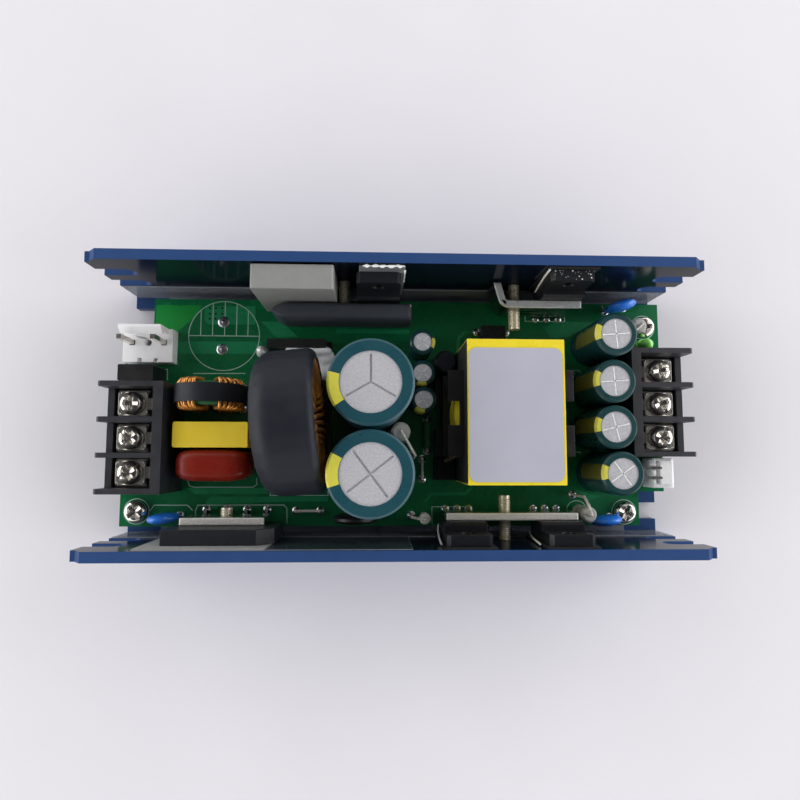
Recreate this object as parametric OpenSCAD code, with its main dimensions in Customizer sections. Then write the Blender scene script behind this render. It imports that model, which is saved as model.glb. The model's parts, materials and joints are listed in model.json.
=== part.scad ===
// Open-frame switching power supply: a U-shaped aluminium channel is chassis and heatsink in one,
// a circuit board stands on it, and bars clamp the power devices to its walls.
// Millimetres. +X runs along the channel, +Z is up, the origin is the centre of the underside.
// The length of the board and the channel follows from the parts that stand in line on the board.

/* [Channel] */
// Width over the outer faces of the walls
channel_w = 68; // [66:0.5:90]
// Height of the walls
wall_h = 32; // [30:0.5:50]
// Thickness of the sheet
sheet_t = 2.4; // [2:0.1:4]
// Outer radius of the bends
bend_r = 1.2; // [0.5:0.1:1.8]
// Chamfer on the upper corners of the walls
wall_chamfer = 2; // [0.5:0.25:3]
// Flat step below that chamfer
wall_step = 1; // [0.5:0.25:2]
// Width of the open-ended fixing slots
slot_w = 4.4; // [3.2:0.1:5.5]
// Depth of the fixing slots
slot_len = 8.5; // [5:0.5:12]
// Height of the upper slot's centre line
slot_high = 22.9; // [22:0.1:26.5]
// Height of the lower slot's centre line
slot_low = 14.8; // [14.5:0.1:17]
// Distance of a base slot's centre line from the wall's outer face
base_slot_inset = 7.9; // [6:0.1:9]

/* [Film] */
// Thickness of the insulating film
film_t = 0.3; // [0.1:0.05:0.4]
// Height of the folded film above the channel's floor
film_h = 9.9; // [6:0.1:10.2]
// Distance of the film's flaps from the channel's ends
film_inset = 0.5; // [0:0.5:6]
// Length of the sheet on the lower wall
wall_sheet_len = 31.4; // [20:0.1:33]

/* [Board] */
// Height of the standoffs
standoff_h = 5; // [4:0.1:10]
// Diameter of the standoffs
standoff_d = 6; // [5:0.1:7]
// Diameter of the standoffs' rivet shanks
rivet_d = 4.2; // [3.8:0.1:4.6]
// Thickness of the board
board_t = 1.6; // [1:0.1:2.4]
// Gap between the board and each wall
board_side_gap = 2.4; // [1:0.1:3]
// Gap between the board and each end of the channel
board_end_gap = 0.7; // [0:0.1:3]
// Length of the corner notches
notch_len = 6.8; // [5:0.1:7.2]
// Depth of the corner notches
notch_w = 8.7; // [6:0.1:8.7]
// Diameter of the board screws
board_screw_d = 2.9; // [2:0.1:3.4]
// Head diameter of the board screws
board_screw_head_d = 5.6; // [4.6:0.1:6]
// Head height of the board screws
board_screw_head_h = 2.1; // [1.5:0.1:2.6]
// Diameter of the lead holes
lead_hole_d = 1.2; // [1.1:0.05:1.4]
// Diameter of the holes for thick pins
pin_hole_d = 1.9; // [1.75:0.05:2.1]
// Diameter of the round leads
lead_d = 0.8; // [0.5:0.05:1]
// Length of the leads below the board
lead_tail = 1.5; // [0.8:0.1:2.2]

/* [Terminals] */
// Distance between poles
terminal_pitch = 8.3; // [8:0.05:8.6]
// Depth of the blocks
terminal_depth = 15.2; // [14.5:0.1:18]
// How far the output block stands out over the board's edge
output_overhang = 1.1; // [0:0.1:1.5]
// Height of the fins and the back wall
terminal_h = 14.5; // [13:0.1:20]
// Thickness of the fins
fin_t = 1.2; // [0.8:0.05:1.4]
// Thickness of the back wall
terminal_back_t = 2.3; // [1.5:0.1:3]
// Height of the floor that the contacts lie on
terminal_floor_h = 6.2; // [5:0.1:8]
// Height of the lip along the front
terminal_lip_h = 8.6; // [8.3:0.1:10]
// Thickness of that lip
terminal_lip_t = 1.5; // [1:0.1:2]
// Distance of the screws from the front
terminal_screw_in = 5.7; // [5.4:0.1:6.4]
// Diameter of the terminal screws
terminal_screw_d = 2.9; // [2.5:0.1:3.4]
// Head diameter of the terminal screws
terminal_head_d = 5.2; // [4.5:0.1:5.8]
// Head height of the terminal screws
terminal_head_h = 2; // [1.5:0.1:2.6]
// Length of the square clamp washers
washer_len = 7.2; // [6:0.1:7.4]
// Thickness of the clamp washers
washer_t = 1; // [0.6:0.1:1.2]
// Width of the contact strips behind the washers
contact_w = 2.8; // [2:0.1:4]
// Thickness of the contact strips
contact_t = 0.8; // [0.5:0.1:1]
// Place of the input terminal across the board
input_terminal_y = -7.2; // [-8:0.1:-6.8]
// Place of the output terminal across the board
output_terminal_y = 1.6; // [0:0.1:2]

/* [Headers] */
// Width of the high-voltage header
dc_header_w = 12.3; // [11:0.1:12.4]
// Depth of the high-voltage header
dc_header_depth = 8.5; // [8:0.1:9]
// Height of its base
dc_header_base_h = 3.6; // [3:0.1:5]
// Height of its latch wall
dc_header_h = 9.2; // [8:0.1:12]
// Distance between its pins
dc_pin_pitch = 7.92; // [7.5:0.02:8.4]
// Side of its square pins
dc_pin = 1.14; // [0.8:0.02:1.2]
// Height of its pins above the board
dc_pin_h = 11; // [9.5:0.1:14]
// Width of the small header
fan_header_w = 7.4; // [7:0.1:7.8]
// Depth of the small header
fan_header_depth = 5.2; // [5:0.1:6.2]
// Height of the small header
fan_header_h = 6.2; // [6:0.1:9]
// Wall of the small header
fan_header_wall = 0.7; // [0.5:0.05:0.9]
// Distance between its pins
fan_pin_pitch = 2.5; // [2.4:0.02:2.6]
// Side of its square pins
fan_pin = 0.64; // [0.5:0.02:0.7]

/* [Input filter] */
// Length of the box fuse
fuse_len = 8.5; // [8:0.1:9]
// Width of the box fuse
fuse_w = 4; // [3.6:0.1:4.2]
// Height of the box fuse
fuse_h = 8; // [6:0.1:11]
// Outer diameter of the filter choke over its band
filter_choke_d = 17.2; // [16:0.1:17.4]
// Width of that band
filter_band_w = 4.3; // [3:0.1:6]
// Inner diameter of its ring core
filter_core_id = 7.4; // [6.8:0.1:7.8]
// Height of its ring core
filter_core_h = 5.6; // [4:0.1:5.8]
// Diameter of its wire
filter_wire_d = 0.9; // [0.7:0.05:0.95]
// Length of the box capacitor
x_cap_len = 17.4; // [16:0.1:17.6]
// Width of the box capacitor
x_cap_w = 6; // [5:0.1:6.2]
// Height of the box capacitor
x_cap_h = 12.6; // [10:0.1:16]
// Length of the dipped film capacitor
film_cap_len = 17.5; // [17.4:0.1:19]
// Width of the dipped film capacitor
film_cap_w = 7.8; // [6:0.1:8]
// Height of the dipped film capacitor
film_cap_h = 12.4; // [10:0.1:16]

/* [Boost choke] */
// Outer diameter over the sleeve
choke_d = 33; // [32:0.1:34]
// Width over the sleeve
choke_w = 13.6; // [13:0.1:15]
// Thickness of the sleeve
choke_sleeve_t = 0.8; // [0.5:0.05:1]
// How far the sleeve laps over the left face
choke_lap = 3; // [1.5:0.1:4]
// How far the sleeve leaves the winding bare at the right
choke_bare = 2.1; // [1:0.1:3]
// Diameter of the wire
choke_wire_d = 1.3; // [1.1:0.05:1.35]
// Inner diameter of the ring core
choke_core_id = 16; // [15.4:0.1:18]
// Turn of the choke away from the board's length
choke_turn = 5; // [0:1:7]
// Thickness of the base
choke_base_t = 1.6; // [1:0.1:2.5]
// Length of the base across the board
choke_base_len = 37; // [36:0.5:40]
// Height of the bar along the upper end of the base
choke_bar_h = 5; // [3:0.1:5.4]

/* [Capacitors] */
// Diameter of the bulk capacitors over the sleeve
bulk_d = 18.4; // [17:0.1:19]
// Height of the bulk capacitors
bulk_h = 30; // [25:0.5:45]
// Diameter of the output capacitors over the sleeve
output_cap_d = 10.2; // [9:0.1:10.4]
// Height of the output capacitors
output_cap_h = 17; // [12:0.5:25]
// Diameter of the auxiliary capacitors over the sleeve
aux_cap_d = 6.2; // [5.5:0.1:6.3]
// Height of the auxiliary capacitors
aux_cap_h = 11; // [8:0.5:16]
// Thickness of the shrunk sleeves
can_sleeve_t = 0.15; // [0.1:0.05:0.3]
// Share of a can's radius that the sleeve leaves open on top
can_open = 0.71; // [0.6:0.01:0.85]

/* [Transformer] */
// Width of the core along the channel
core_w = 22; // [20:0.1:24]
// Length of the core across the channel
core_len = 32; // [30:0.1:33]
// Height of the closed core
core_h = 20.6; // [18:0.1:26]
// Thickness of the core's plates
core_plate_t = 4.7; // [4:0.1:5.5]
// Diameter of the centre post
core_post_d = 13.4; // [12:0.1:14]
// Diameter of the space for the winding
core_window_d = 27.4; // [26.8:0.1:28]
// Length of the bobbin along the channel
bobbin_len = 29.4; // [29:0.1:32]
// Width of the bobbin's flanges
bobbin_w = 20; // [18:0.1:22]
// Wall of the bobbin
bobbin_wall = 0.9; // [0.6:0.05:1.2]
// Diameter of the winding
coil_d = 26.2; // [25:0.1:26.4]
// Thickness of the tape round the core
tape_t = 0.3; // [0.1:0.05:0.5]
// Height of the core above the board
core_lift = 1.2; // [1:0.1:2]

/* [Power devices] */
// Width of a full-pack case
pack_w = 10.2; // [9.6:0.1:10.6]
// Height of a full-pack case
pack_h = 15.9; // [14:0.1:17]
// Thickness of a full-pack case
pack_t = 4.5; // [4.4:0.1:5]
// Thickness of its upper part
pack_tab_t = 2.6; // [2:0.1:3]
// Height of its thick part
pack_body_h = 9.2; // [8.5:0.1:10]
// Height of the full-pack cases above the board
pack_lift = 5.6; // [3:0.1:5.9]
// Height of the boost switch above the board
device_lift = 1.9; // [1.7:0.1:2.4]
// Thickness of the thermal pads
pad_t = 0.4; // [0.4:0.05:0.6]
// Width of the bridge rectifier
bridge_w = 24.4; // [23:0.1:25]
// Height of the bridge rectifier
bridge_h = 15; // [14:0.1:17]
// Thickness of the bridge rectifier
bridge_t = 3.5; // [3.4:0.1:4.4]
// Width of the boost switch
switch_w = 15.6; // [15:0.1:16.5]
// Height of the boost switch
switch_h = 20; // [17:0.1:20.3]
// Thickness of the boost switch
switch_t = 4.6; // [4.2:0.1:5]
// Wall of the silicone cap
cap_wall = 0.45; // [0.3:0.05:0.8]
// Width of the silicone cap
cap_w = 18.6; // [18.3:0.1:19]
// Distance of the lead rows from the walls
lead_row = 6.6; // [6.2:0.1:7]

/* [Clamps] */
// Thickness of the steel bars
bar_t = 1.9; // [1.5:0.1:2.2]
// Height of the steel bars
bar_h = 9; // [8:0.1:9.6]
// Diameter of the clamp screws
clamp_screw_d = 2.6; // [2.2:0.1:3]
// Head diameter of the clamp screws
clamp_head_d = 5; // [4.4:0.1:5.6]
// Thickness of the shrunk sleeve on the boost clamp
clamp_sleeve_t = 0.7; // [0.4:0.1:1]
// Length of the rectifier clamp
rectifier_bar_len = 19.8; // [17:0.1:22]
// Length of the boost clamp
boost_bar_len = 31; // [29:0.1:33]
// Length of the inverter clamp
inverter_bar_len = 31.8; // [30:0.1:33]
// Length of the bent output clamp
output_bar_len = 20.8; // [19:0.1:22]

/* [Small parts] */
// Diameter of the blue disc capacitors
disc_cap_d = 7.4; // [6:0.1:7.5]
// Thickness of the blue disc capacitors
disc_cap_t = 3; // [2:0.1:3.2]
// Diameter of the inrush resistor's disc
inrush_d = 11; // [9:0.1:12]
// Thickness of that disc
inrush_t = 2.6; // [2:0.1:3]
// Diameter of the tall resistor between the bulk capacitors
tall_resistor_d = 4.6; // [4:0.1:4.8]
// Length of that resistor
tall_resistor_len = 10.6; // [9:0.1:13]
// Diameter of the short resistors
short_resistor_d = 3.8; // [3:0.1:4]
// Length of the short resistors
short_resistor_len = 8; // [6:0.1:10]
// Diameter of the lamp
lamp_d = 3; // [2.5:0.1:3.2]
// Height of the lamp
lamp_h = 5.2; // [4:0.1:7]

/* [Gaps along the board] */
// Input terminal to the filter parts
filter_gap = 1.7; // [1:0.05:6]
// Filter parts to the boost choke
choke_gap = 4.9; // [3.5:0.05:8]
// Boost choke to the bulk capacitors
bulk_gap = 1.25; // [1:0.05:5]
// Bulk capacitors to the auxiliary capacitors
aux_gap = 0.5; // [0.3:0.05:4]
// Auxiliary capacitors to the transformer
transformer_gap = 1.75; // [1.6:0.05:6]
// Transformer to the output capacitors
isolation_gap = 4.7; // [4:0.1:12]
// Output capacitors to the output terminal
output_gap = 0.25; // [0.2:0.05:4]

/* [Hidden] */
$fn = 48;

// Clearance round pins, screws and shanks, and the overshoot of a cut
fit = 0.1;
cut = 1;

// Levels
inner_y = channel_w / 2 - sheet_t;
board_z = sheet_t + standoff_h;
top_z = board_z + board_t;
tail_z = board_z - lead_tail;

// Columns from left to right, and the lengths that they add up to
filter_len = max(x_cap_len, film_cap_len, filter_choke_d);
board_len = 2 * terminal_depth - output_overhang + filter_gap + filter_len + choke_gap + choke_w + bulk_gap
  + bulk_d + aux_gap + aux_cap_d + transformer_gap + bobbin_len + isolation_gap + output_cap_d + output_gap;
board_w = 2 * (inner_y - board_side_gap);
channel_len = board_len + 2 * board_end_gap;
left = -board_len / 2;
right = board_len / 2;
filter_x = left + terminal_depth + filter_gap + filter_len / 2;
choke_x = filter_x + filter_len / 2 + choke_gap + choke_w / 2;
bulk_x = choke_x + choke_w / 2 + bulk_gap + bulk_d / 2;
aux_x = bulk_x + bulk_d / 2 + aux_gap + aux_cap_d / 2;
transformer_x = aux_x + aux_cap_d / 2 + transformer_gap + bobbin_len / 2;
output_front = right + output_overhang;
output_cap_x = output_front - terminal_depth - output_gap - output_cap_d / 2;

// Places across the board
board_low = -board_w / 2;
board_high = board_w / 2;
row_gap = 0.3;
choke_y = -3.9;
bulk_low_y = board_low + 4.9 + bulk_d / 2;
bulk_high_y = bulk_low_y + bulk_d + 2 * row_gap;
aux_at = [[aux_x - 0.2, 2.2], [aux_x - 0.5, 8.7], [aux_x - 0.5, 16.3]];
aux_vents = [27, 54, 45];
transformer_y = -1.5;
output_cap_pitch = output_cap_d + 2 * row_gap;
output_cap_shift = [[1.4, 0], [0.1, 0], [0.1, 0], [0.8, 0.4]];
output_cap_at = [for (i = [0:3])
  output_cap_shift[i] + [output_cap_x, 0.8 + (i - 1.5) * output_cap_pitch]];
output_cap_vents = [35, 14, 4, 4];

// Terminals
poles = 3;
terminal_w = poles * terminal_pitch + fin_t;
pole_w = terminal_pitch - fin_t - 2 * row_gap;
terminal_pin_in = 10;
function pole_y(i) = (i - (poles - 1) / 2) * terminal_pitch;

// Headers and fuse, in a row above the input terminal
fuse_x = left + 5.9;
fuse_y = input_terminal_y + terminal_w / 2 + 0.9 + fuse_w / 2;
fuse_pitch = 5.08;
dc_header_x = left + 0.75 + dc_header_w / 2;
dc_header_y = fuse_y + fuse_w / 2 + 1.2 + dc_header_depth / 2;
dc_pin_y = dc_header_y + 0.8;
fan_header_x = right - 0.5 - fan_header_depth / 2;
fan_header_y = output_terminal_y - terminal_w / 2 - 0.4 - fan_header_w / 2;

// Lamp above the output terminal
lamp_at = [right - 4.9, output_terminal_y + terminal_w / 2 + 1.5 + lamp_d / 2];
lamp_flange_d = lamp_d + 0.6;
lamp_pitch = 2.54;

// Board screws stand at three corners, and the notched corners leave the base slots open
screw_edge = 3.4;
board_screw_at = [
  [left + screw_edge + 0.8, board_low + screw_edge + 0.35],
  [right - notch_len - screw_edge - 0.6, board_low + screw_edge],
  [right - screw_edge - 0.8,
    max(board_high - 6.3, lamp_at[1] + lamp_flange_d / 2 + row_gap + board_screw_head_d / 2)]];
notch_depth = min(notch_w, board_high - dc_header_y - dc_header_depth / 2,
  fan_header_y - fan_header_w / 2 - board_low);

// Filter parts, from the film capacitor upwards
film_cap_y = -13.7;
film_cap_lift = 0.8;
x_cap_y = film_cap_y + film_cap_w / 2 + row_gap + x_cap_w / 2;
filter_choke_x = filter_x - 1.1;
filter_choke_y = x_cap_y + x_cap_w / 2 + 3 + filter_core_h / 2 + filter_wire_d;
filter_band_t = 0.6;
filter_choke_z = top_z + filter_choke_d / 2;
filter_turn_d = filter_choke_d - 2 * filter_band_t - 2 * fit;
filter_core_od = filter_turn_d - 2 * filter_wire_d - 2 * fit;
filter_turn_step = 19;
filter_turns = 8;
filter_wind_turn = -8;
cap_pitch = 15;

// Boost choke, standing in the saddle of its base
choke_turn_d = choke_d - 2 * choke_sleeve_t - 2 * fit;
choke_core_od = choke_turn_d - 2 * choke_wire_d - 2 * fit;
choke_turn_w = choke_w - 2 * choke_sleeve_t - 2 * fit;
choke_core_h = choke_turn_w - 2 * choke_wire_d - 2 * fit;
choke_z = top_z + choke_base_t + choke_d / 2;
choke_turns = 28;
choke_base_y = choke_y + 3.4;
choke_bar_len = 14.8;
choke_bar_w = 2.3;
choke_bar_x = choke_x - 1.85;
saddle_h = 3;
saddle_len = 22;

// Capacitor cans
can_gap = 0.05;
can_bead_z = 2.6;
can_bead = 0.5;
vent_w = 0.5;
vent_depth = 0.3;

// Transformer levels
core_z = top_z + core_lift;
bobbin_floor = core_z + core_plate_t + fit;
bobbin_roof = core_z + core_h - core_plate_t - fit;
rail_w = bobbin_len / 2 - core_w / 2 - tape_t - 2 * fit;
rail_foot = 1.6;
rail_foot_h = 3.6;
wire_notch = 5.6;
rail_pins = 5;
rail_pitch = 3.8;

// Devices on the walls: their places along X and their backs, measured from a wall's inner face
device_z = top_z + device_lift;
pack_z = top_z + pack_lift;
pad_z = sheet_t + film_h + row_gap;
bridge_x = left + 29.3;
bridge_z = device_z + 1.7;
bridge_hole_d = 3.4;
bridge_screw_x = bridge_x - 0.75;
bridge_pad_x = bridge_x - 2.6;
bridge_pad_w = bridge_w + 3.8;
boost_x = choke_x - 0.6;
cap_t = switch_t + 2 * cap_wall + 2 * fit;
cap_h = switch_h + cap_wall + fit;
boost_front = film_t + cap_t;
ceramic_t = boost_front - pack_t;
diode_x = boost_x + cap_w / 2 + 4.4 + pack_w / 2 + 0.6;
inverter_x = transformer_x + 0.9;
inverter_half = 11.4;
rectifier_x = transformer_x + 13.8;
device_pitch = 3;
switch_pitch = 5.45;
bridge_pitch = 5.08;
lead_w = 0.8;
lead_t = 0.5;
lead_knee = top_z + 1;

// Clamp bars stand at one height, and their screws go through their middle
clamp_z = top_z + 7;
bar_z = clamp_z - bar_h / 2;
boost_clamp_z = clamp_z + 1.4;
pack_front = pad_t + pack_t;
bridge_front = pad_t + bridge_t;
boost_bar_back = boost_front + clamp_sleeve_t;
output_lip_x = rectifier_x - 15.4;
output_screw_x = output_lip_x + 5;
boost_screw_x = boost_x + cap_w / 2 + 1.6;
boost_bar_x = boost_x + 11.7;
inverter_bar_x = inverter_x + 0.4;
bend_in = 0.8;

// Each screw: place along X, wall, height, bar's front, length beyond the bar
clamp_screw_at = [
  [bridge_screw_x, -1, clamp_z, bridge_front + bar_t, 1.9],
  [inverter_x - 0.6, -1, clamp_z, pack_front + bar_t, 3.8],
  [boost_screw_x, 1, boost_clamp_z, boost_bar_back + bar_t, -0.2],
  [output_screw_x, 1, clamp_z, pack_front + bar_t, 4.4]];
clamp_head_h = 1.3;

// Small parts
disc_lift = 1;
disc_pitch = 5;
disc_at = [
  [bridge_x - bridge_w / 2 - 0.8 - disc_cap_d / 2, board_low + 2.5],
  [rectifier_x + 18.3, board_high - 1.7],
  [board_screw_at[1][0] - board_screw_head_d / 2 - disc_cap_d / 2, board_low + 1.8]];
disc_turn = [6, 13, 7];
inrush_at = [bulk_x - 3.8, board_low + 2.6];
tall_resistor_at = [
  bulk_x + sqrt(pow(bulk_d / 2 + tall_resistor_d / 2 + row_gap, 2) - pow(bulk_d / 2 + row_gap, 2)),
  (bulk_low_y + bulk_high_y) / 2];
resistor_lift = 1;
short_resistor_at = [
  [disc_at[2][0] - disc_cap_d / 2 - row_gap - short_resistor_d / 2, board_low + 3.6],
  [board_screw_at[2][0] - 5, board_screw_at[2][1] - 1.5]];
resistor_pad_at = [[tall_resistor_at[0] + 3.4, tall_resistor_at[1] - 5.6],
  [short_resistor_at[0][0] - 1.1, short_resistor_at[0][1] + 4.3],
  [short_resistor_at[1][0] - 2.6, short_resistor_at[1][1] - 2.4]];
snubber_at = [aux_x + 0.5, board_low + 2.3];
snubber_d = 2.7;
snubber_len = 4.6;
snubber_pad_at = [snubber_at[0] - 3.2, snubber_at[1] + 0.4];
wire_d = 0.7;
wire_h = 1.6;
jumpers = [[[choke_x - 1.9, board_low + 3.9], [choke_x + 4.2, board_low + 3.9]],
  [[aux_x + 0.1, transformer_y - 10.7], [aux_x + 0.1, transformer_y - 15.8]]];
opto_at = [transformer_x - 1, transformer_y + core_len / 2 + tape_t + 2.8 + 2.3];
opto_size = [6.4, 4.6, 3.4];
ic_size = [5.4, 5.4, 3.6];
ic_at = [transformer_x - core_w / 2 - row_gap - ic_size[0] / 2, transformer_y - 13.2];
inductor_d = 5.4;
inductor_h = 8;
inductor_at = [transformer_x - core_w / 2 - row_gap - inductor_d / 2, transformer_y + 13.6];
axial_d = 2.4;
axial_len = 6.8;
axial_pitch = 8;
axial_z = top_z + axial_d / 2 + row_gap;
axial_at = [aux_x + 1.4, transformer_y - 4.5];
dip_span = 7.62;
dip_pitch = 2.54;
solder_d = 2.3;
solder_h = 1;

// A pair of points, a row of points
function pair_x(at, pitch) = [for (s = [-1, 1]) [at[0] + s * pitch / 2, at[1]]];
function pair_turned(at, pitch, turn) = [for (s = [-1, 1])
  [at[0] + s * pitch / 2 * cos(turn), at[1] + s * pitch / 2 * sin(turn)]];
function pair_y(at, pitch) = [for (s = [-1, 1]) [at[0], at[1] + s * pitch / 2]];
function row_x(x, y, n, pitch) = [for (i = [0:n - 1]) [x + (i - (n - 1) / 2) * pitch, y]];
function row_y(x, y, n, pitch) = [for (i = [0:n - 1]) [x, y + (i - (n - 1) / 2) * pitch]];
function wall_row(side) = side * (inner_y - lead_row);

// Straight leads under parts that stand on the board, with the height that they rise above it
choke_lead_x = 5.6;
filter_lead_rise = filter_choke_d / 2 - sqrt(pow(filter_turn_d / 2, 2) - pow(choke_lead_x - lead_d / 2, 2));
filter_lead_y = filter_band_w / 2 + lead_d / 2 + fit;
seated_leads = concat(
  row_y(left + terminal_pin_in, input_terminal_y, poles, terminal_pitch),
  row_y(right - terminal_pin_in, output_terminal_y, poles, terminal_pitch),
  pair_x([fuse_x, fuse_y], fuse_pitch),
  pair_x([filter_x, x_cap_y], cap_pitch),
  pair_y([choke_x + choke_w / 2 - 1.6, choke_base_y], choke_base_len - 5),
  pair_y([bulk_x, bulk_low_y], 7.5),
  pair_y([bulk_x, bulk_high_y], 7.5),
  [for (at = output_cap_at) for (p = pair_y(at, 5)) p],
  [for (at = aux_at) for (p = pair_y(at, 2.5)) p],
  [for (s = [-1, 1]) for (p = row_y(transformer_x + s * (bobbin_len - rail_w) / 2, transformer_y,
    rail_pins, rail_pitch)) p],
  pair_x(lamp_at, lamp_pitch * 0.6),
  pair_x(ic_at, 2.54),
  pair_y(inductor_at, 2.54));
raised_leads = concat(
  [for (s = [-1, 1]) for (p = pair_x([filter_choke_x, filter_choke_y + s * filter_lead_y],
    2 * choke_lead_x))
    [p[0], p[1], filter_lead_rise]],
  [for (p = pair_x([filter_x, film_cap_y], cap_pitch)) [p[0], p[1], film_cap_lift + 2]],
  [for (i = [0:len(disc_at) - 1]) for (p = pair_turned(disc_at[i], disc_pitch, disc_turn[i]))
    [p[0], p[1], disc_lift + 1.2]],
  [for (p = pair_x(inrush_at, disc_pitch)) [p[0], p[1], disc_lift + 1.2]]);
dip_leads = [for (p = pair_x(opto_at, dip_span)) for (q = pair_y(p, dip_pitch)) q];
upright_leads = concat([tall_resistor_at], short_resistor_at, [snubber_at]);
device_holes = concat(
  row_x(bridge_x, wall_row(-1), 4, bridge_pitch),
  row_x(inverter_x - inverter_half, wall_row(-1), 3, device_pitch),
  row_x(inverter_x + inverter_half, wall_row(-1), 3, device_pitch),
  row_x(boost_x, wall_row(1), 3, switch_pitch),
  row_x(diode_x, wall_row(1), 3, device_pitch),
  row_x(rectifier_x, wall_row(1), 3, device_pitch));
fan_pins = row_y(fan_header_x, fan_header_y, 2, fan_pin_pitch);
dc_pins = row_x(dc_header_x, dc_pin_y, 2, dc_pin_pitch);
lead_holes = concat(seated_leads, [for (p = raised_leads) [p[0], p[1]]], dip_leads, upright_leads,
  resistor_pad_at, [snubber_pad_at], pair_y(axial_at, axial_pitch), [for (j = jumpers) for (p = j) p],
  device_holes, fan_pins);

// A box that stands on z = 0, centred on X and Y
module stand(l, w, h) {
  translate([-l / 2, -w / 2, 0])
    cube([l, w, h]);
}

// A flat rectangle with round corners
module round_rect(l, w, r) {
  square([l - 2 * r, w], center = true);
  square([l, w - 2 * r], center = true);
  for (x = [-1, 1], y = [-1, 1])
    translate([x * (l / 2 - r), y * (w / 2 - r)])
      circle(r);
}

// Its children at each point, at a height
module at_each(points, z) {
  for (p = points)
    translate([p[0], p[1], z])
      children();
}

// Its children on a wall: x along the channel, y from the wall's inner face into the channel
module on_wall(side, x) {
  translate([x, side * inner_y, 0])
    if (side > 0)
      mirror([0, 1, 0])
        children();
    else
      children();
}

// A profile drawn in Y and Z, extruded along X
module along_x(len) {
  rotate([90, 0, 90])
    linear_extrude(len, center = true)
      children();
}

// A straight wire between two points, with a knuckle at its end
module wire(a, b, d) {
  v = b - a;
  translate(a)
    rotate([0, acos(v[2] / norm(v)), atan2(v[1], v[0])])
      cylinder(d = d, h = norm(v));
  translate(b)
    sphere(d = 1.08 * d);
}

// A wire through a list of points
module wire_run(points, d) {
  for (i = [1:len(points) - 1])
    wire(points[i - 1], points[i], d);
}

// A screw with a domed head and a cross recess, its head's seat at z = 0
module pan_screw(d, len, head_d, head_h) {
  dome_r = 0.75 * head_d;
  recess_w = 0.22 * head_d;
  recess_l = 0.68 * head_d;
  difference() {
    union() {
      intersection() {
        cylinder(d = head_d, h = head_h);
        translate([0, 0, head_h - dome_r])
          sphere(dome_r);
      }
      translate([0, 0, -len])
        cylinder(d = d, h = len + head_h / 4);
    }
    for (a = [0, 90])
      rotate(a)
        translate([0, 0, head_h / 3])
          stand(recess_l, recess_w, head_h);
  }
}

// The channel's cross-section
module channel_profile() {
  difference() {
    union() {
      translate([-channel_w / 2, bend_r])
        square([channel_w, wall_h - bend_r]);
      translate([-channel_w / 2 + bend_r, 0])
        square([channel_w - 2 * bend_r, sheet_t]);
      for (side = [-1, 1])
        translate([side * (channel_w / 2 - bend_r), bend_r])
          circle(bend_r);
    }
    translate([-inner_y, sheet_t])
      square([2 * inner_y, wall_h]);
  }
}

// The cutter of an open-ended slot: its round end in the sheet, its mouth beyond the end
module slot_cutter(h) {
  cylinder(d = slot_w, h = h, center = true);
  translate([0, -slot_w / 2, -h / 2])
    cube([slot_len + cut, slot_w, h]);
}

module bracket() {
  slot_x = channel_len / 2 - slot_len + slot_w / 2;
  color("#38547f")
  difference() {
    along_x(channel_len)
      channel_profile();
    for (end = [0, 180], z = [slot_low, slot_high])
      rotate(end)
        translate([slot_x, 0, z])
          rotate([90, 0, 0])
            slot_cutter(channel_w + 2 * cut);
    for (end = [0, 180])
      rotate(end) {
        translate([slot_x, -channel_w / 2 + base_slot_inset, sheet_t / 2])
          slot_cutter(sheet_t + 2 * cut);
        translate([channel_len / 2, 0, wall_h])
          rotate([90, 0, 0])
            linear_extrude(channel_w + 2 * cut, center = true)
              polygon([[cut, -wall_chamfer], [-wall_step, -wall_chamfer],
                [-wall_step - wall_chamfer - cut, cut], [cut, cut]]);
      }
    at_each(board_screw_at, -cut)
      cylinder(d = rivet_d + 2 * fit, h = sheet_t + 2 * cut);
    for (s = clamp_screw_at)
      on_wall(s[1], s[0])
        translate([0, -sheet_t, s[2]])
          rotate([-90, 0, 0]) {
            cylinder(d = clamp_screw_d + 2 * fit, h = sheet_t + cut);
            translate([0, 0, -fit])
              cylinder(d1 = clamp_head_d + 4 * fit, d2 = clamp_screw_d + 2 * fit,
                h = clamp_head_h + 2 * fit);
          }
  }
}

// A folded sheet whose floor ends short of the base slots, while its flaps run on along the walls
module folded_film() {
  difference() {
    along_x(channel_len - 2 * film_inset)
      difference() {
        translate([-inner_y, sheet_t])
          square([2 * inner_y, film_h]);
        translate([-inner_y + film_t, sheet_t + film_t])
          square([2 * (inner_y - film_t), film_h]);
      }
    for (end = [0, 180])
      rotate(end)
        translate([channel_len / 2 - slot_len - row_gap, -inner_y + film_t, sheet_t - cut])
          cube([slot_len + cut, 2 * (inner_y - film_t), film_h + 2 * cut]);
    at_each(board_screw_at, sheet_t - cut)
      cylinder(d = standoff_d + 2 * fit, h = film_t + 2 * cut);
  }
}

// The folded sheet, and a flat one on the lower wall beside the rectifier
module insulation_film() {
  color("#dfe6ea", 0.4) {
    folded_film();
    on_wall(-1, bridge_pad_x + bridge_pad_w / 2 + row_gap + wall_sheet_len / 2)
      translate([0, film_t / 2, pad_z])
        stand(wall_sheet_len, film_t, wall_h - row_gap - pad_z);
  }
}

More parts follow.
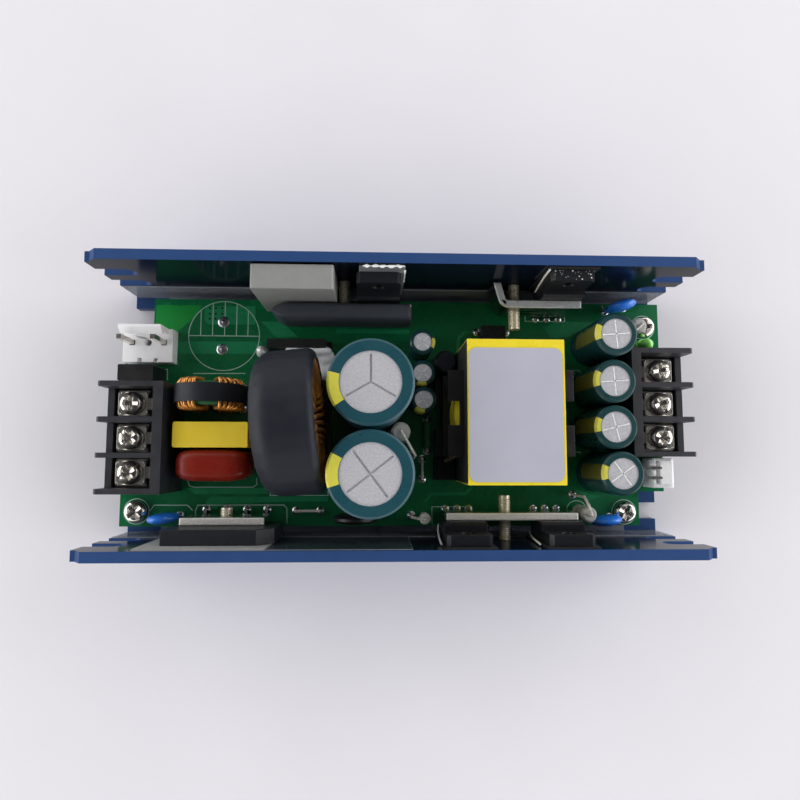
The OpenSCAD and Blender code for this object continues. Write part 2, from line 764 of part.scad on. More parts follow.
module circuit_board() {
  color("#0f5130")
  difference() {
    translate([0, 0, board_z])
      stand(board_len, board_w, board_t);
    for (end = [0, 180])
      rotate(end)
        translate([right - notch_len, board_low - cut, board_z - cut])
          cube([notch_len + cut, notch_depth + cut, board_t + 2 * cut]);
    at_each(board_screw_at, board_z - cut)
      cylinder(d = board_screw_d + 4 * fit, h = board_t + 2 * cut);
    at_each(lead_holes, board_z - cut)
      cylinder(d = lead_hole_d, h = board_t + 2 * cut, $fn = 24);
    at_each(dc_pins, board_z - cut)
      cylinder(d = pin_hole_d, h = board_t + 2 * cut, $fn = 24);
  }
}

module board_standoffs() {
  color("silver")
  at_each(board_screw_at, 0)
    difference() {
      union() {
        cylinder(d = rivet_d, h = board_z);
        translate([0, 0, sheet_t])
          cylinder(d = standoff_d, h = standoff_h);
      }
      translate([0, 0, -cut])
        cylinder(d = board_screw_d + 2 * fit, h = board_z + 2 * cut);
    }
}

module board_screws() {
  color("silver")
  at_each(board_screw_at, top_z)
    rotate(30)
      pan_screw(board_screw_d, board_t + standoff_h, board_screw_head_d, board_screw_head_h);
}

// A barrier block with its front at x = 0: floor, lip, back wall and fins between the poles
module terminal_block() {
  nose = 0.7;
  difference() {
    union() {
      translate([0, -terminal_w / 2, 0])
        cube([terminal_depth, terminal_w, terminal_floor_h]);
      translate([0, -terminal_w / 2, 0])
        cube([terminal_lip_t, terminal_w, terminal_lip_h]);
      translate([terminal_depth - terminal_back_t, -terminal_w / 2, 0])
        cube([terminal_back_t, terminal_w, terminal_h]);
      for (i = [0:poles])
        translate([0, -terminal_w / 2 + i * terminal_pitch + fin_t, 0])
          rotate([90, 0, 0])
            linear_extrude(fin_t)
              polygon([[0, 0], [terminal_depth, 0], [terminal_depth, terminal_h],
                [nose, terminal_h], [0, terminal_h - nose]]);
    }
    for (i = [0:poles - 1])
      translate([terminal_screw_in, pole_y(i), cut])
        cylinder(d = terminal_screw_d + 4 * fit, h = terminal_h);
  }
}

// Its children at both terminals, in the frame of the block
module at_terminals() {
  translate([left, input_terminal_y, top_z])
    children();
  translate([output_front, output_terminal_y, top_z])
    rotate(180)
      children();
}

module input_terminal() {
  color("#2f2f34")
  translate([left, input_terminal_y, top_z])
    terminal_block();
}

module output_terminal() {
  color("#2f2f34")
  translate([output_front, output_terminal_y, top_z])
    rotate(180)
      terminal_block();
}

// A contact strip on the floor, wide under the square clamp washer that lies on it
module terminal_contacts() {
  strip_x = terminal_lip_t + row_gap;
  strip_len = terminal_depth - terminal_back_t - terminal_lip_t - 2 * row_gap;
  seat_len = terminal_screw_in + washer_len / 2 - strip_x;
  corner = 0.9;
  color("silver")
  at_terminals()
    for (i = [0:poles - 1])
      translate([0, pole_y(i), terminal_floor_h]) {
        difference() {
          union() {
            translate([strip_x, -pole_w / 2, 0])
              cube([seat_len, pole_w, contact_t]);
            translate([strip_x, -contact_w / 2, 0])
              cube([strip_len, contact_w, contact_t]);
          }
          translate([terminal_screw_in, 0, -cut])
            cylinder(d = terminal_screw_d + 4 * fit, h = contact_t + 2 * cut);
        }
        translate([terminal_screw_in, 0, contact_t])
          difference() {
            linear_extrude(washer_t)
              round_rect(washer_len, pole_w - 2 * fit, corner);
            translate([0, 0, -cut])
              cylinder(d = terminal_screw_d + 4 * fit, h = washer_t + 2 * cut);
          }
      }
}

module terminal_screws() {
  seat = terminal_floor_h + contact_t + washer_t;
  color("silver")
  at_terminals()
    for (i = [0:poles - 1])
      translate([terminal_screw_in, pole_y(i), seat])
        rotate(25 + 40 * i)
          pan_screw(terminal_screw_d, seat - cut - fit, terminal_head_d, terminal_head_h);
}

// Header with a low base and a latch wall along its upper edge; the middle position has no pin
module dc_connector() {
  wall_t = 1.3;
  latch = 0.8;
  side_t = 1;
  color("white")
  translate([dc_header_x, dc_header_y, top_z])
    difference() {
      union() {
        stand(dc_header_w, dc_header_depth, dc_header_base_h);
        translate([0, dc_header_depth / 2 - wall_t, 0])
          along_x(dc_header_w - 2 * side_t)
            polygon([[0, 0], [wall_t, 0], [wall_t, dc_header_h], [wall_t / 2, dc_header_h],
              [-latch, dc_header_h - 2 * latch], [0, dc_header_h - 3 * latch]]);
      }
      for (p = dc_pins)
        translate([p[0] - dc_header_x, p[1] - dc_header_y, -cut])
          stand(dc_pin + 2 * fit, dc_pin + 2 * fit, dc_header_base_h + 2 * cut);
      translate([0, dc_pin_y - dc_header_y, -cut])
        cylinder(d = 1.7, h = dc_header_base_h + 2 * cut);
      for (s = [-1, 1])
        translate([s * dc_pin_pitch / 4, -dc_header_depth / 2, dc_header_base_h - side_t])
          stand(side_t, 2 * side_t, 2 * side_t);
    }
}

// Open-topped box header with keying slots in its inner wall
module fan_connector() {
  floor_t = 1.4;
  key_w = 0.9;
  color("white")
  translate([fan_header_x, fan_header_y, top_z])
    difference() {
      stand(fan_header_depth, fan_header_w, fan_header_h);
      translate([0, 0, floor_t])
        stand(fan_header_depth - 2 * fan_header_wall, fan_header_w - 2 * fan_header_wall,
          fan_header_h);
      for (s = [-1, 1])
        translate([-fan_header_depth / 2, s * fan_pin_pitch / 2, floor_t])
          stand(4 * fan_header_wall, key_w, fan_header_h);
      for (p = fan_pins)
        translate([0, p[1] - fan_header_y, -cut])
          stand(fan_pin + 2 * fit, fan_pin + 2 * fit, floor_t + 2 * cut);
    }
}

module connector_pins() {
  fan_pin_h = fan_header_h - 1.2;
  color("silver") {
    at_each(dc_pins, tail_z)
      stand(dc_pin, dc_pin, dc_pin_h + top_z - tail_z);
    at_each(fan_pins, tail_z)
      stand(fan_pin, fan_pin, fan_pin_h + top_z - tail_z);
  }
}

module fuse() {
  color("#26262a")
  translate([fuse_x, fuse_y, top_z])
    linear_extrude(fuse_h)
      round_rect(fuse_len, fuse_w, 0.4);
}

// A ring with its axis on Z
module ring(od, id, h) {
  difference() {
    cylinder(d = od, h = h, center = true);
    cylinder(d = id, h = h + 2 * cut, center = true);
  }
}

// A ring core with its edges taken off
module ring_core(od, id, h) {
  edge = 0.6;
  rotate_extrude()
    polygon([[id / 2 + edge, -h / 2], [od / 2 - edge, -h / 2], [od / 2, -h / 2 + edge],
      [od / 2, h / 2 - edge], [od / 2 - edge, h / 2], [id / 2 + edge, h / 2],
      [id / 2, h / 2 - edge], [id / 2, -h / 2 + edge]]);
}

// One turn of wire round a ring core's section, in the X and Z plane
module turn(inner, outer, h, d) {
  r = d;
  for (x = [inner, outer])
    translate([x, 0, -h / 2 + r])
      cylinder(d = d, h = h - 2 * r, $fn = 24);
  for (z = [-1, 1])
    translate([inner + r, 0, z * h / 2])
      rotate([0, 90, 0])
        cylinder(d = d, h = outer - inner - 2 * r, $fn = 24);
  for (c = [[outer - r, h / 2 - r, 0], [inner + r, h / 2 - r, 90], [inner + r, -h / 2 + r, 180],
    [outer - r, -h / 2 + r, 270]])
    translate([c[0], 0, c[1]])
      rotate([90, 0, 0])
        rotate([0, 0, c[2]])
          rotate_extrude(angle = 90, $fn = 24)
            translate([r, 0])
              circle(d = d, $fn = 24);
}

// Turns of wire at a list of angles round a ring core
module winding(angles, core_od, core_id, core_h, d) {
  for (a = angles)
    rotate(a)
      turn(core_id / 2 - d / 2 - fit, core_od / 2 + d / 2 + fit, core_h + d + 2 * fit, d);
}

// Its children at the filter choke, whose axis runs across the board
module at_filter_choke() {
  translate([filter_choke_x, filter_choke_y, filter_choke_z])
    rotate([90, 0, 0])
      children();
}

module filter_choke_core() {
  color("#2f6b3c")
  at_filter_choke()
    ring_core(filter_core_od, filter_core_id, filter_core_h);
}

module filter_choke_windings() {
  spread = (filter_turns - 1) * filter_turn_step / 2;
  color("#b5662c")
  at_filter_choke()
    for (side = [filter_wind_turn, filter_wind_turn + 180])
      winding([for (i = [0:filter_turns - 1]) side - spread + i * filter_turn_step],
        filter_core_od, filter_core_id, filter_core_h, filter_wire_d);
}

module filter_choke_band() {
  color("#202124")
  at_filter_choke()
    ring(filter_choke_d, filter_choke_d - 2 * filter_band_t, filter_band_w);
}

module x_capacitor() {
  color("#d1b428")
  translate([filter_x, x_cap_y, top_z])
    linear_extrude(x_cap_h)
      round_rect(x_cap_len, x_cap_w, 0.5);
}

// A dipped block with round edges, held off the board by its leads
module film_capacitor() {
  r = 2.4;
  color("#7a2418")
  translate([filter_x, film_cap_y, top_z + film_cap_lift])
    difference() {
      hull()
        for (x = [-1, 1], y = [-1, 1], z = [r, film_cap_h - r])
          translate([x * (film_cap_len / 2 - r), y * (film_cap_w / 2 - r), z])
            sphere(r, $fn = 24);
      for (p = pair_x([0, 0], cap_pitch))
        translate([p[0], 0, -cut])
          cylinder(d = lead_d + 2 * fit, h = 2 + cut + fit, $fn = 24);
    }
}

// Its children at the boost choke, whose axis runs along the board, a little turned
module at_boost_choke() {
  translate([choke_x, choke_y, choke_z])
    rotate([0, 90, choke_turn])
      children();
}

module boost_choke_core() {
  color("#3a3c40")
  at_boost_choke()
    ring_core(choke_core_od, choke_core_id, choke_core_h);
}

module boost_choke_winding() {
  color("#b5662c")
  at_boost_choke()
    winding([for (i = [0:choke_turns - 1]) i * 360 / choke_turns], choke_core_od, choke_core_id,
      choke_core_h, choke_wire_d);
}

// A shrunk tube round the rim, drawn in over the left face and open at the right
module boost_choke_sleeve() {
  inside = choke_d / 2 - choke_sleeve_t;
  mouth = choke_w / 2 - choke_bare;
  edge = 0.7;
  color("#2b2e33")
  at_boost_choke()
    rotate_extrude()
      difference() {
        polygon([[choke_d / 2 - choke_lap, -choke_w / 2], [choke_d / 2 - edge, -choke_w / 2],
          [choke_d / 2, -choke_w / 2 + edge], [choke_d / 2, mouth],
          [choke_d / 2 - choke_lap, mouth]]);
        translate([0, -choke_w / 2 + choke_sleeve_t])
          square([inside, choke_w]);
      }
}

// A plate with a saddle that takes the round of the sleeve, and a bar along its upper end
module boost_choke_base() {
  color("#1f2022")
  difference() {
    translate([choke_x, choke_base_y, top_z]) {
      stand(choke_w, choke_base_len, choke_base_t);
      translate([0, choke_y - choke_base_y, 0])
        stand(choke_w, saddle_len, choke_base_t + saddle_h);
      translate([choke_bar_x - choke_x, (choke_base_len - choke_bar_w) / 2, 0])
        stand(choke_bar_len, choke_bar_w, choke_bar_h);
    }
    translate([choke_x, choke_y, choke_z])
      rotate([0, 90, choke_turn])
        cylinder(d = choke_d + 2 * fit, h = 2 * choke_w, center = true);
  }
}

// The outline of a can's half-section, with a crimped bead near its foot
function can_outline(r, h) = [[0, 0], [r, 0], [r, can_bead_z - 2 * can_bead], [r - can_bead, can_bead_z],
  [r, can_bead_z + 2 * can_bead], [r, h - can_bead], [r - can_bead, h], [0, h]];

// The angles of four vent grooves that cross
function cross_vents(a) = [for (i = [0:3]) a + 90 * i];

// An aluminium can, with vent grooves in its top at the given angles
module can(d, h, vents) {
  r = d / 2 - can_sleeve_t - can_gap;
  difference() {
    rotate_extrude()
      polygon(can_outline(r, h - can_sleeve_t - can_gap));
    for (a = vents)
      rotate(a)
        translate([0, -vent_w / 2, h - can_sleeve_t - can_gap - vent_depth])
          cube([can_open * r - vent_w, vent_w, vent_depth + cut]);
  }
}

// The sleeve over a can, turned in over its top
module can_sleeve(d, h) {
  r = d / 2;
  difference() {
    rotate_extrude()
      polygon(can_outline(r, h));
    rotate_extrude()
      polygon(can_outline(r - can_sleeve_t, h - can_sleeve_t));
    translate([0, 0, -cut])
      cylinder(r = r - can_sleeve_t - can_bead, h = 2 * cut);
    translate([0, 0, h - cut])
      cylinder(r = can_open * r, h = 2 * cut);
  }
}

module bulk_capacitor_cans() {
  color("silver") {
    translate([bulk_x, bulk_high_y, top_z])
      can(bulk_d, bulk_h, [90, 210, 330]);
    translate([bulk_x, bulk_low_y, top_z])
      can(bulk_d, bulk_h, [38, 127, 218, 307]);
  }
}

module bulk_capacitor_sleeves() {
  color("#26525c")
  at_each([[bulk_x, bulk_low_y], [bulk_x, bulk_high_y]], top_z)
    can_sleeve(bulk_d, bulk_h);
}

module aux_capacitor_cans() {
  color("silver")
  for (i = [0:len(aux_at) - 1])
    translate([aux_at[i][0], aux_at[i][1], top_z])
      can(aux_cap_d, aux_cap_h, cross_vents(aux_vents[i]));
}

module aux_capacitor_sleeves() {
  color("#26525c")
  at_each(aux_at, top_z)
    can_sleeve(aux_cap_d, aux_cap_h);
}

module output_capacitor_cans() {
  color("silver")
  for (i = [0:len(output_cap_at) - 1])
    translate([output_cap_at[i][0], output_cap_at[i][1], top_z])
      can(output_cap_d, output_cap_h, cross_vents(output_cap_vents[i]));
}

module output_capacitor_sleeves() {
  color("#26525c")
  at_each(output_cap_at, top_z)
    can_sleeve(output_cap_d, output_cap_h);
}

// Half of a ferrite core: a plate, end legs hollowed round the winding, and a centre post
module core_half() {
  linear_extrude(core_plate_t)
    square([core_w, core_len], center = true);
  linear_extrude((core_h - fit) / 2)
    difference() {
      square([core_w, core_len], center = true);
      circle(d = core_window_d);
    }
  cylinder(d = core_post_d, h = (core_h - fit) / 2);
}

module transformer_core() {
  color("#2a2a2c")
  translate([transformer_x, transformer_y, core_z]) {
    core_half();
    translate([0, 0, core_h])
      mirror([0, 0, 1])
        core_half();
  }
}

// A bobbin's flange, notched at both ends for the wires
module bobbin_flange() {
  linear_extrude(bobbin_wall)
    difference() {
      union() {
        circle(d = coil_d + 2 * row_gap);
        square([bobbin_len, bobbin_w], center = true);
      }
      for (s = [-1, 1])
        translate([s * bobbin_len / 2, 0])
          square([2 * rail_w - bobbin_wall, wire_notch], center = true);
    }
}

// Tube, two flanges between the core's legs, and a pin rail outside the core on either side
module transformer_bobbin() {
  tube_d = core_post_d + 2 * fit;
  color("#1f2022")
  difference() {
    translate([transformer_x, transformer_y, 0]) {
      intersection() {
        union() {
          translate([0, 0, bobbin_floor])
            bobbin_flange();
          translate([0, 0, bobbin_roof - bobbin_wall])
            bobbin_flange();
        }
        translate([0, 0, bobbin_floor])
          union() {
            cylinder(d = core_window_d - 2 * fit, h = core_h);
            for (s = [-1, 1])
              translate([s * (core_w + bobbin_len) / 4, 0, 0])
                stand(bobbin_len / 2 - core_w / 2, bobbin_w, core_h);
          }
      }
      translate([0, 0, bobbin_floor])
        cylinder(d = tube_d + 2 * bobbin_wall, h = bobbin_roof - bobbin_floor);
      for (s = [-1, 1])
        translate([s * (bobbin_len - rail_w) / 2, 0, top_z])
          stand(rail_w, bobbin_w, bobbin_floor + bobbin_wall - top_z);
      for (s = [-1, 1], t = [-1, 1])
        translate([s * (bobbin_len / 2 + rail_foot / 2 - cut / 2), t * (bobbin_w + wire_notch) / 4,
          top_z])
          stand(rail_foot + cut, (bobbin_w - wire_notch) / 2, rail_foot_h);
    }
    translate([transformer_x, transformer_y, bobbin_floor - cut])
      cylinder(d = tube_d, h = core_h);
  }
}

module transformer_winding() {
  color("#e0c72a")
  translate([transformer_x, transformer_y, (bobbin_floor + bobbin_roof) / 2])
    ring(coil_d, core_post_d + 2 * bobbin_wall + 4 * fit,
      bobbin_roof - bobbin_floor - 2 * bobbin_wall - 2 * fit);
}

// A band of tape over the core's top, ends and underside
module transformer_tape() {
  color("#e8d628")
  translate([transformer_x, transformer_y, core_z + core_h / 2])
    along_x(core_w)
      difference() {
        square([core_len + 2 * tape_t, core_h + 2 * tape_t], center = true);
        square([core_len, core_h], center = true);
      }
}

module transformer_label() {
  color("#aaaab6")
  translate([transformer_x - 0.15, transformer_y - 0.65, core_z + core_h + tape_t])
    linear_extrude(0.12)
      round_rect(core_w - 0.9, core_len - 2.1, 1.8);
}

// A full-pack case: thick foot, thin upper part with a hole, its back at the given distance
module full_pack(back) {
  edge = 0.6;
  hole_d = 3.2;
  translate([0, back, pack_z])
    difference() {
      along_x(pack_w)
        polygon([[0, 0], [pack_t, 0], [pack_t, pack_body_h - edge], [pack_t - edge, pack_body_h],
          [pack_tab_t, pack_body_h], [pack_tab_t, pack_h], [0, pack_h]]);
      translate([0, -cut, pack_h - hole_d])
        rotate([-90, 0, 0])
          cylinder(d = hole_d, h = pack_t + 2 * cut);
      for (s = [-1, 1])
        translate([s * pack_w / 2, pack_t / 2, pack_h])
          rotate([0, 45, 0])
            cube([2 * edge, pack_t + 2 * cut, 2 * edge], center = true);
    }
}

// A flat four-lead rectifier with one corner cut off and a hole for its clamp screw
module bridge_rectifier() {
  corner = 3.4;
  color("#2c2c30")
  on_wall(-1, bridge_x)
    translate([-bridge_w / 2, pad_t + bridge_t, bridge_z])
      rotate([90, 0, 0])
        linear_extrude(bridge_t)
          difference() {
            polygon([[0, 0], [bridge_w, 0], [bridge_w, bridge_h - corner],
              [bridge_w - corner, bridge_h], [0, bridge_h]]);
            translate([bridge_screw_x - bridge_x + bridge_w / 2, clamp_z - bridge_z])
              circle(d = bridge_hole_d);
          }
}

module boost_switch() {
  color("#2c2c30")
  on_wall(1, boost_x)
    translate([0, film_t + cap_wall + fit + switch_t / 2, device_z])
      stand(switch_w, switch_t, switch_h);
}

// A cap drawn over the boost switch, open below
module silicone_cap() {
  slack = 0.3;
  color("#8a8a88")
  on_wall(1, boost_x)
    translate([0, film_t + cap_t / 2, device_z])
      difference() {
        stand(cap_w, cap_t, cap_h);
        translate([0, 0, -cut])
          stand(min(switch_w + slack, cap_w - 2 * cap_wall), switch_t + 2 * fit,
            switch_h + cut + fit);
      }
}

module boost_diode() {
  color("#2c2c30")
  on_wall(1, diode_x)
    full_pack(ceramic_t);
}

module inverter_switches() {
  color("#2c2c30")
  for (s = [-1, 1])
    on_wall(-1, inverter_x + s * inverter_half)
      full_pack(pad_t);
}

module output_rectifier() {
  color("#2c2c30")
  on_wall(1, rectifier_x)
    full_pack(pad_t);
}

// A row of flat leads: out of a case, over a knee to the lead row, and down through the board
module flat_leads(n, pitch, back, top) {
  exit = back + pack_t / 2;
  for (i = [0:n - 1]) {
    along = (i - (n - 1) / 2) * pitch;
    translate([along, 0, 0])
      along_x(lead_w) {
        translate([exit - lead_t / 2, lead_knee])
          square([lead_t, top - lead_knee]);
        translate([exit - lead_t / 2, lead_knee])
          square([lead_row - exit + lead_t, lead_t]);
        translate([lead_row - lead_t / 2, tail_z])
          square([lead_t, lead_knee + lead_t - tail_z]);
      }
  }
}

module device_leads() {
  color("silver") {
    on_wall(-1, bridge_x)
      flat_leads(4, bridge_pitch, pad_t, bridge_z);
    for (s = [-1, 1])
      on_wall(-1, inverter_x + s * inverter_half)
        flat_leads(3, device_pitch, pad_t, pack_z);
    on_wall(1, boost_x)
      flat_leads(3, switch_pitch, film_t + cap_wall, device_z);
    on_wall(1, diode_x)
      flat_leads(3, device_pitch, ceramic_t, pack_z);
    on_wall(1, rectifier_x)
      flat_leads(3, device_pitch, pad_t, pack_z);
  }
}

// A sheet on a wall, from above the folded film up
module wall_pad(w, t, top) {
  translate([0, t / 2, pad_z])
    stand(w, t, top - pad_z);
}

module rectifier_pad() {
  color("#8c8e8c")
  difference() {
    on_wall(-1, bridge_pad_x)
      wall_pad(bridge_pad_w, pad_t, wall_h - 2 * row_gap);
    on_wall(-1, bridge_screw_x)
      translate([0, -cut, clamp_z])
        rotate([-90, 0, 0])
          cylinder(d = bridge_hole_d, h = pad_t + 2 * cut);
  }
}

module thermal_pads() {
  pad_top = pack_z + pack_h + 0.8;
  side = 1.6;
  color("#26282a") {
    for (s = [-1, 1])
      on_wall(-1, inverter_x + s * inverter_half)
        wall_pad(pack_w + side, pad_t, pad_top);
    on_wall(1, rectifier_x)
      wall_pad(pack_w + side, pad_t, pad_top);
  }
}

module ceramic_pad() {
  margin = 0.9;
  color("#eceae2")
  on_wall(1, diode_x)
    wall_pad(pack_w + 2 * margin, ceramic_t, pack_z + pack_h + margin);
}

// A flat bar with a screw hole, its back at the given distance from the wall
module clamp_bar(len, back, screw_offset, z) {
  translate([0, back, z - bar_h / 2])
    difference() {
      translate([-len / 2, 0, 0])
        cube([len, bar_t, bar_h]);
      translate([screw_offset, -cut, bar_h / 2])
        rotate([-90, 0, 0])
          cylinder(d = clamp_screw_d + 2 * fit, h = bar_t + 2 * cut);
    }
}

module rectifier_clamp() {
  color("#bebeb9")
  on_wall(-1, bridge_screw_x)
    clamp_bar(rectifier_bar_len, bridge_front, 0, clamp_z);
}

module inverter_clamp() {
  color("#bebeb9")
  on_wall(-1, inverter_bar_x)
    clamp_bar(inverter_bar_len, pack_front, inverter_x - 0.6 - inverter_bar_x, clamp_z);
}

module boost_clamp() {
  color("#bebeb9")
  on_wall(1, boost_bar_x)
    clamp_bar(boost_bar_len, boost_bar_back, boost_screw_x - boost_bar_x, boost_clamp_z);
}

// A shrunk tube over the boost clamp, pinched flat at its left end
module boost_clamp_sleeve() {
  wall = clamp_sleeve_t - fit;
  outer_t = bar_t + 2 * clamp_sleeve_t;
  outer_h = bar_h + 2 * clamp_sleeve_t;
  pinch = 2;
  color("#26282c")
  on_wall(1, boost_bar_x)
    translate([0, boost_bar_back + bar_t / 2, boost_clamp_z])
      difference() {
        union() {
          along_x(boost_bar_len + 2 * fit)
            round_rect(outer_t, outer_h, wall);
          translate([-boost_bar_len / 2 - fit, 0, -outer_h / 2])
            linear_extrude(outer_h)
              polygon([[0, outer_t / 2], [-pinch, wall], [-pinch, -wall], [0, -outer_t / 2]]);
        }
        cube([boost_bar_len + 2 * fit, bar_t + 2 * fit, bar_h + 2 * fit], center = true);
        translate([boost_screw_x - boost_bar_x, 0, 0])
          rotate([90, 0, 0])
            cylinder(d = clamp_screw_d + 4 * fit, h = 2 * outer_t);
      }
}

// A bar bent at one end, so that its lip stands on the wall
module output_clamp() {
  lean = 15;
  steps = 6;
  outer = bend_in + bar_t;
  lip_len = (pack_front - bend_in - film_t) / cos(lean);
  color("#bebeb9")
  on_wall(1, output_lip_x)
    translate([outer, pack_front - bend_in, bar_z])
      difference() {
        union() {
          translate([0, bend_in, 0])
            cube([output_bar_len - outer, bar_t, bar_h]);
          linear_extrude(bar_h)
            polygon(concat(
              [for (i = [0:steps]) outer * [cos(90 + i * (90 - lean) / steps),
                sin(90 + i * (90 - lean) / steps)]],
              [for (i = [steps:-1:0]) bend_in * [cos(90 + i * (90 - lean) / steps),
                sin(90 + i * (90 - lean) / steps)]]));
          intersection() {
            rotate(-lean)
              translate([-outer, -lip_len - bar_t, 0])
                cube([bar_t, lip_len + bar_t, bar_h]);
            translate([-output_bar_len, -pack_front + bend_in + film_t, 0])
              cube([2 * output_bar_len, pack_front, bar_h]);
          }
        }
        translate([output_screw_x - output_lip_x - outer, -cut, bar_h / 2])
          rotate([-90, 0, 0])
            cylinder(d = clamp_screw_d + 2 * fit, h = outer + 2 * cut);
      }
}

// Countersunk screws from outside, flush with the walls
module clamp_screws() {
  drive = 1.1;
  color("#c8b98c")
  for (s = clamp_screw_at)
    on_wall(s[1], s[0])
      translate([0, -sheet_t, s[2]])
        rotate([-90, 0, 0])
          difference() {
            union() {
              cylinder(d1 = clamp_head_d, d2 = clamp_screw_d, h = clamp_head_h);
              cylinder(d = clamp_screw_d, h = sheet_t + s[3] + s[4]);
            }
            for (a = [0, 90])
              rotate(a)
                translate([0, 0, -cut])
                  stand(2.4 * drive, drive / 2, cut + drive);
          }
}

// A dipped disc on edge with its axis across the board, tapering to its rim
module dipped_disc(d, t) {
  rim = t / 4;
  rotate([90, 0, 0])
    rotate_extrude()
      polygon([[0, -t / 2], [d / 4, -t / 2], [d / 2 - rim, -t / 3], [d / 2, -rim / 2],
        [d / 2, rim / 2], [d / 2 - rim, t / 3], [d / 4, t / 2], [0, t / 2]]);
}

// A disc at the given place, turned about the upright, with sockets for its two leads
module disc_part(at, d, t, turn) {
  difference() {
    translate([at[0], at[1], top_z + disc_lift + d / 2])
      rotate(turn)
        dipped_disc(d, t);
    at_each(pair_turned(at, disc_pitch, turn), top_z)
      cylinder(d = lead_d + 2 * fit, h = disc_lift + 1.2 + fit, $fn = 24);
  }
}

module safety_capacitors() {
  color("#1e5fbe")
  for (i = [0:len(disc_at) - 1])
    disc_part(disc_at[i], disc_cap_d, disc_cap_t, disc_turn[i]);
}

module inrush_resistor() {
  color("#26282a")
  disc_part(inrush_at, inrush_d, inrush_t, 0);
}

// An upright axial body with thicker end caps
module axial_body(d, len) {
  cap_len = 0.24 * len;
  waist = 0.05 * d;
  edge = 0.12 * d;
  rotate_extrude()
    polygon([[0, 0], [d / 2 - edge, 0], [d / 2, edge], [d / 2, cap_len], [d / 2 - waist, cap_len + edge],
      [d / 2 - waist, len - cap_len - edge], [d / 2, len - cap_len], [d / 2, len - edge],
      [d / 2 - edge, len], [0, len]]);
}

module power_resistors() {
  color("#969696") {
    translate([tall_resistor_at[0], tall_resistor_at[1], top_z + resistor_lift])
      axial_body(tall_resistor_d, tall_resistor_len);
    at_each(short_resistor_at, top_z + resistor_lift)
      axial_body(short_resistor_d, short_resistor_len);
    translate([snubber_at[0], snubber_at[1], top_z + resistor_lift])
      axial_body(snubber_d, snubber_len);
  }
}

// A round moulded inductor that stands on the board
module aux_inductor() {
  edge = 0.5;
  color("#222428")
  translate([inductor_at[0], inductor_at[1], top_z])
    rotate_extrude()
      polygon([[0, 0], [inductor_d / 2, 0], [inductor_d / 2, inductor_h - edge],
        [inductor_d / 2 - edge, inductor_h], [0, inductor_h]]);
}

// An axial inductor that lies across the board
module axial_inductor() {
  color("#2f6b3c")
  translate([axial_at[0], axial_at[1] - axial_len / 2, axial_z])
    rotate([-90, 0, 0])
      axial_body(axial_d, axial_len);
}

// The lower lead of an upright part, and the upper lead that bends down to its pad
module upright_wires(at, pad, len) {
  top = top_z + resistor_lift + len;
  rise = 1.4;
  drop = 0.3;
  elbow = 0.45 * at + 0.55 * pad;
  translate([at[0], at[1], tail_z])
    cylinder(d = wire_d, h = top_z + resistor_lift - tail_z);
  translate([0, 0, top])
    wire_run([[at[0], at[1], 0], [at[0], at[1], rise], [elbow[0], elbow[1], rise - drop],
      [pad[0], pad[1], rise - 6 * drop], [pad[0], pad[1], tail_z - top]], wire_d);
}

module bent_leads() {
  color("silver") {
    upright_wires(tall_resistor_at, resistor_pad_at[0], tall_resistor_len);
    upright_wires(short_resistor_at[0], resistor_pad_at[1], short_resistor_len);
    upright_wires(short_resistor_at[1], resistor_pad_at[2], short_resistor_len);
    upright_wires(snubber_at, snubber_pad_at, snubber_len);
    for (j = jumpers)
      wire_run([[j[0][0], j[0][1], tail_z], [j[0][0], j[0][1], top_z + wire_h],
        [j[1][0], j[1][1], top_z + wire_h], [j[1][0], j[1][1], tail_z]], wire_d);
    for (s = [-1, 1])
      translate([axial_at[0], axial_at[1], axial_z])
        wire_run([[0, s * axial_len / 2, 0], [0, s * axial_pitch / 2, 0],
          [0, s * axial_pitch / 2, tail_z - axial_z]], wire_d);
  }
}

// A small moulded body, wider at its middle where the leads leave it
module dip_body(size) {
  draft = 0.25;
  along_x(size[1])
    polygon([[-size[0] / 2 + draft, 0], [size[0] / 2 - draft, 0], [size[0] / 2, size[2] / 2],
      [size[0] / 2 - draft, size[2]], [-size[0] / 2 + draft, size[2]], [-size[0] / 2, size[2] / 2]]);
}

module optocoupler() {
  color("#202022")
  translate([opto_at[0], opto_at[1], top_z + row_gap])
    rotate(90)
      dip_body(opto_size);
}

module control_ic() {
  color("#202022")
  translate([ic_at[0], ic_at[1], top_z])
    rotate(90)
      dip_body(ic_size);
}

module indicator_lamp() {
  flange_h = 1;
  color("#39c04a")
  translate([lamp_at[0], lamp_at[1], top_z]) {
    cylinder(d = lamp_flange_d, h = flange_h);
    cylinder(d = lamp_d, h = lamp_h - lamp_d / 2);
    translate([0, 0, lamp_h - lamp_d / 2])
      sphere(d = lamp_d);
  }
}

// Leads of the parts that stand on the board, and the shouldered leads of the optocoupler
module component_leads() {
  shoulder = top_z + row_gap + opto_size[2] / 2;
  dip_w = 0.6;
  dip_t = 0.3;
  color("silver") {
    at_each(seated_leads, tail_z)
      cylinder(d = lead_d, h = top_z - tail_z, $fn = 24);
    for (p = raised_leads)
      translate([p[0], p[1], tail_z])
        cylinder(d = lead_d, h = top_z + p[2] - tail_z, $fn = 24);
    for (p = dip_leads) {
      side = p[0] > opto_at[0] ? 1 : -1;
      reach = dip_span / 2 - opto_size[0] / 2;
      translate([p[0], p[1], tail_z])
        stand(dip_t, dip_w, shoulder - tail_z);
      translate([p[0] - side * reach / 2 + side * dip_t / 4, p[1], shoulder - dip_t / 2])
        stand(reach + dip_t / 2, dip_w, dip_t);
    }
  }
}

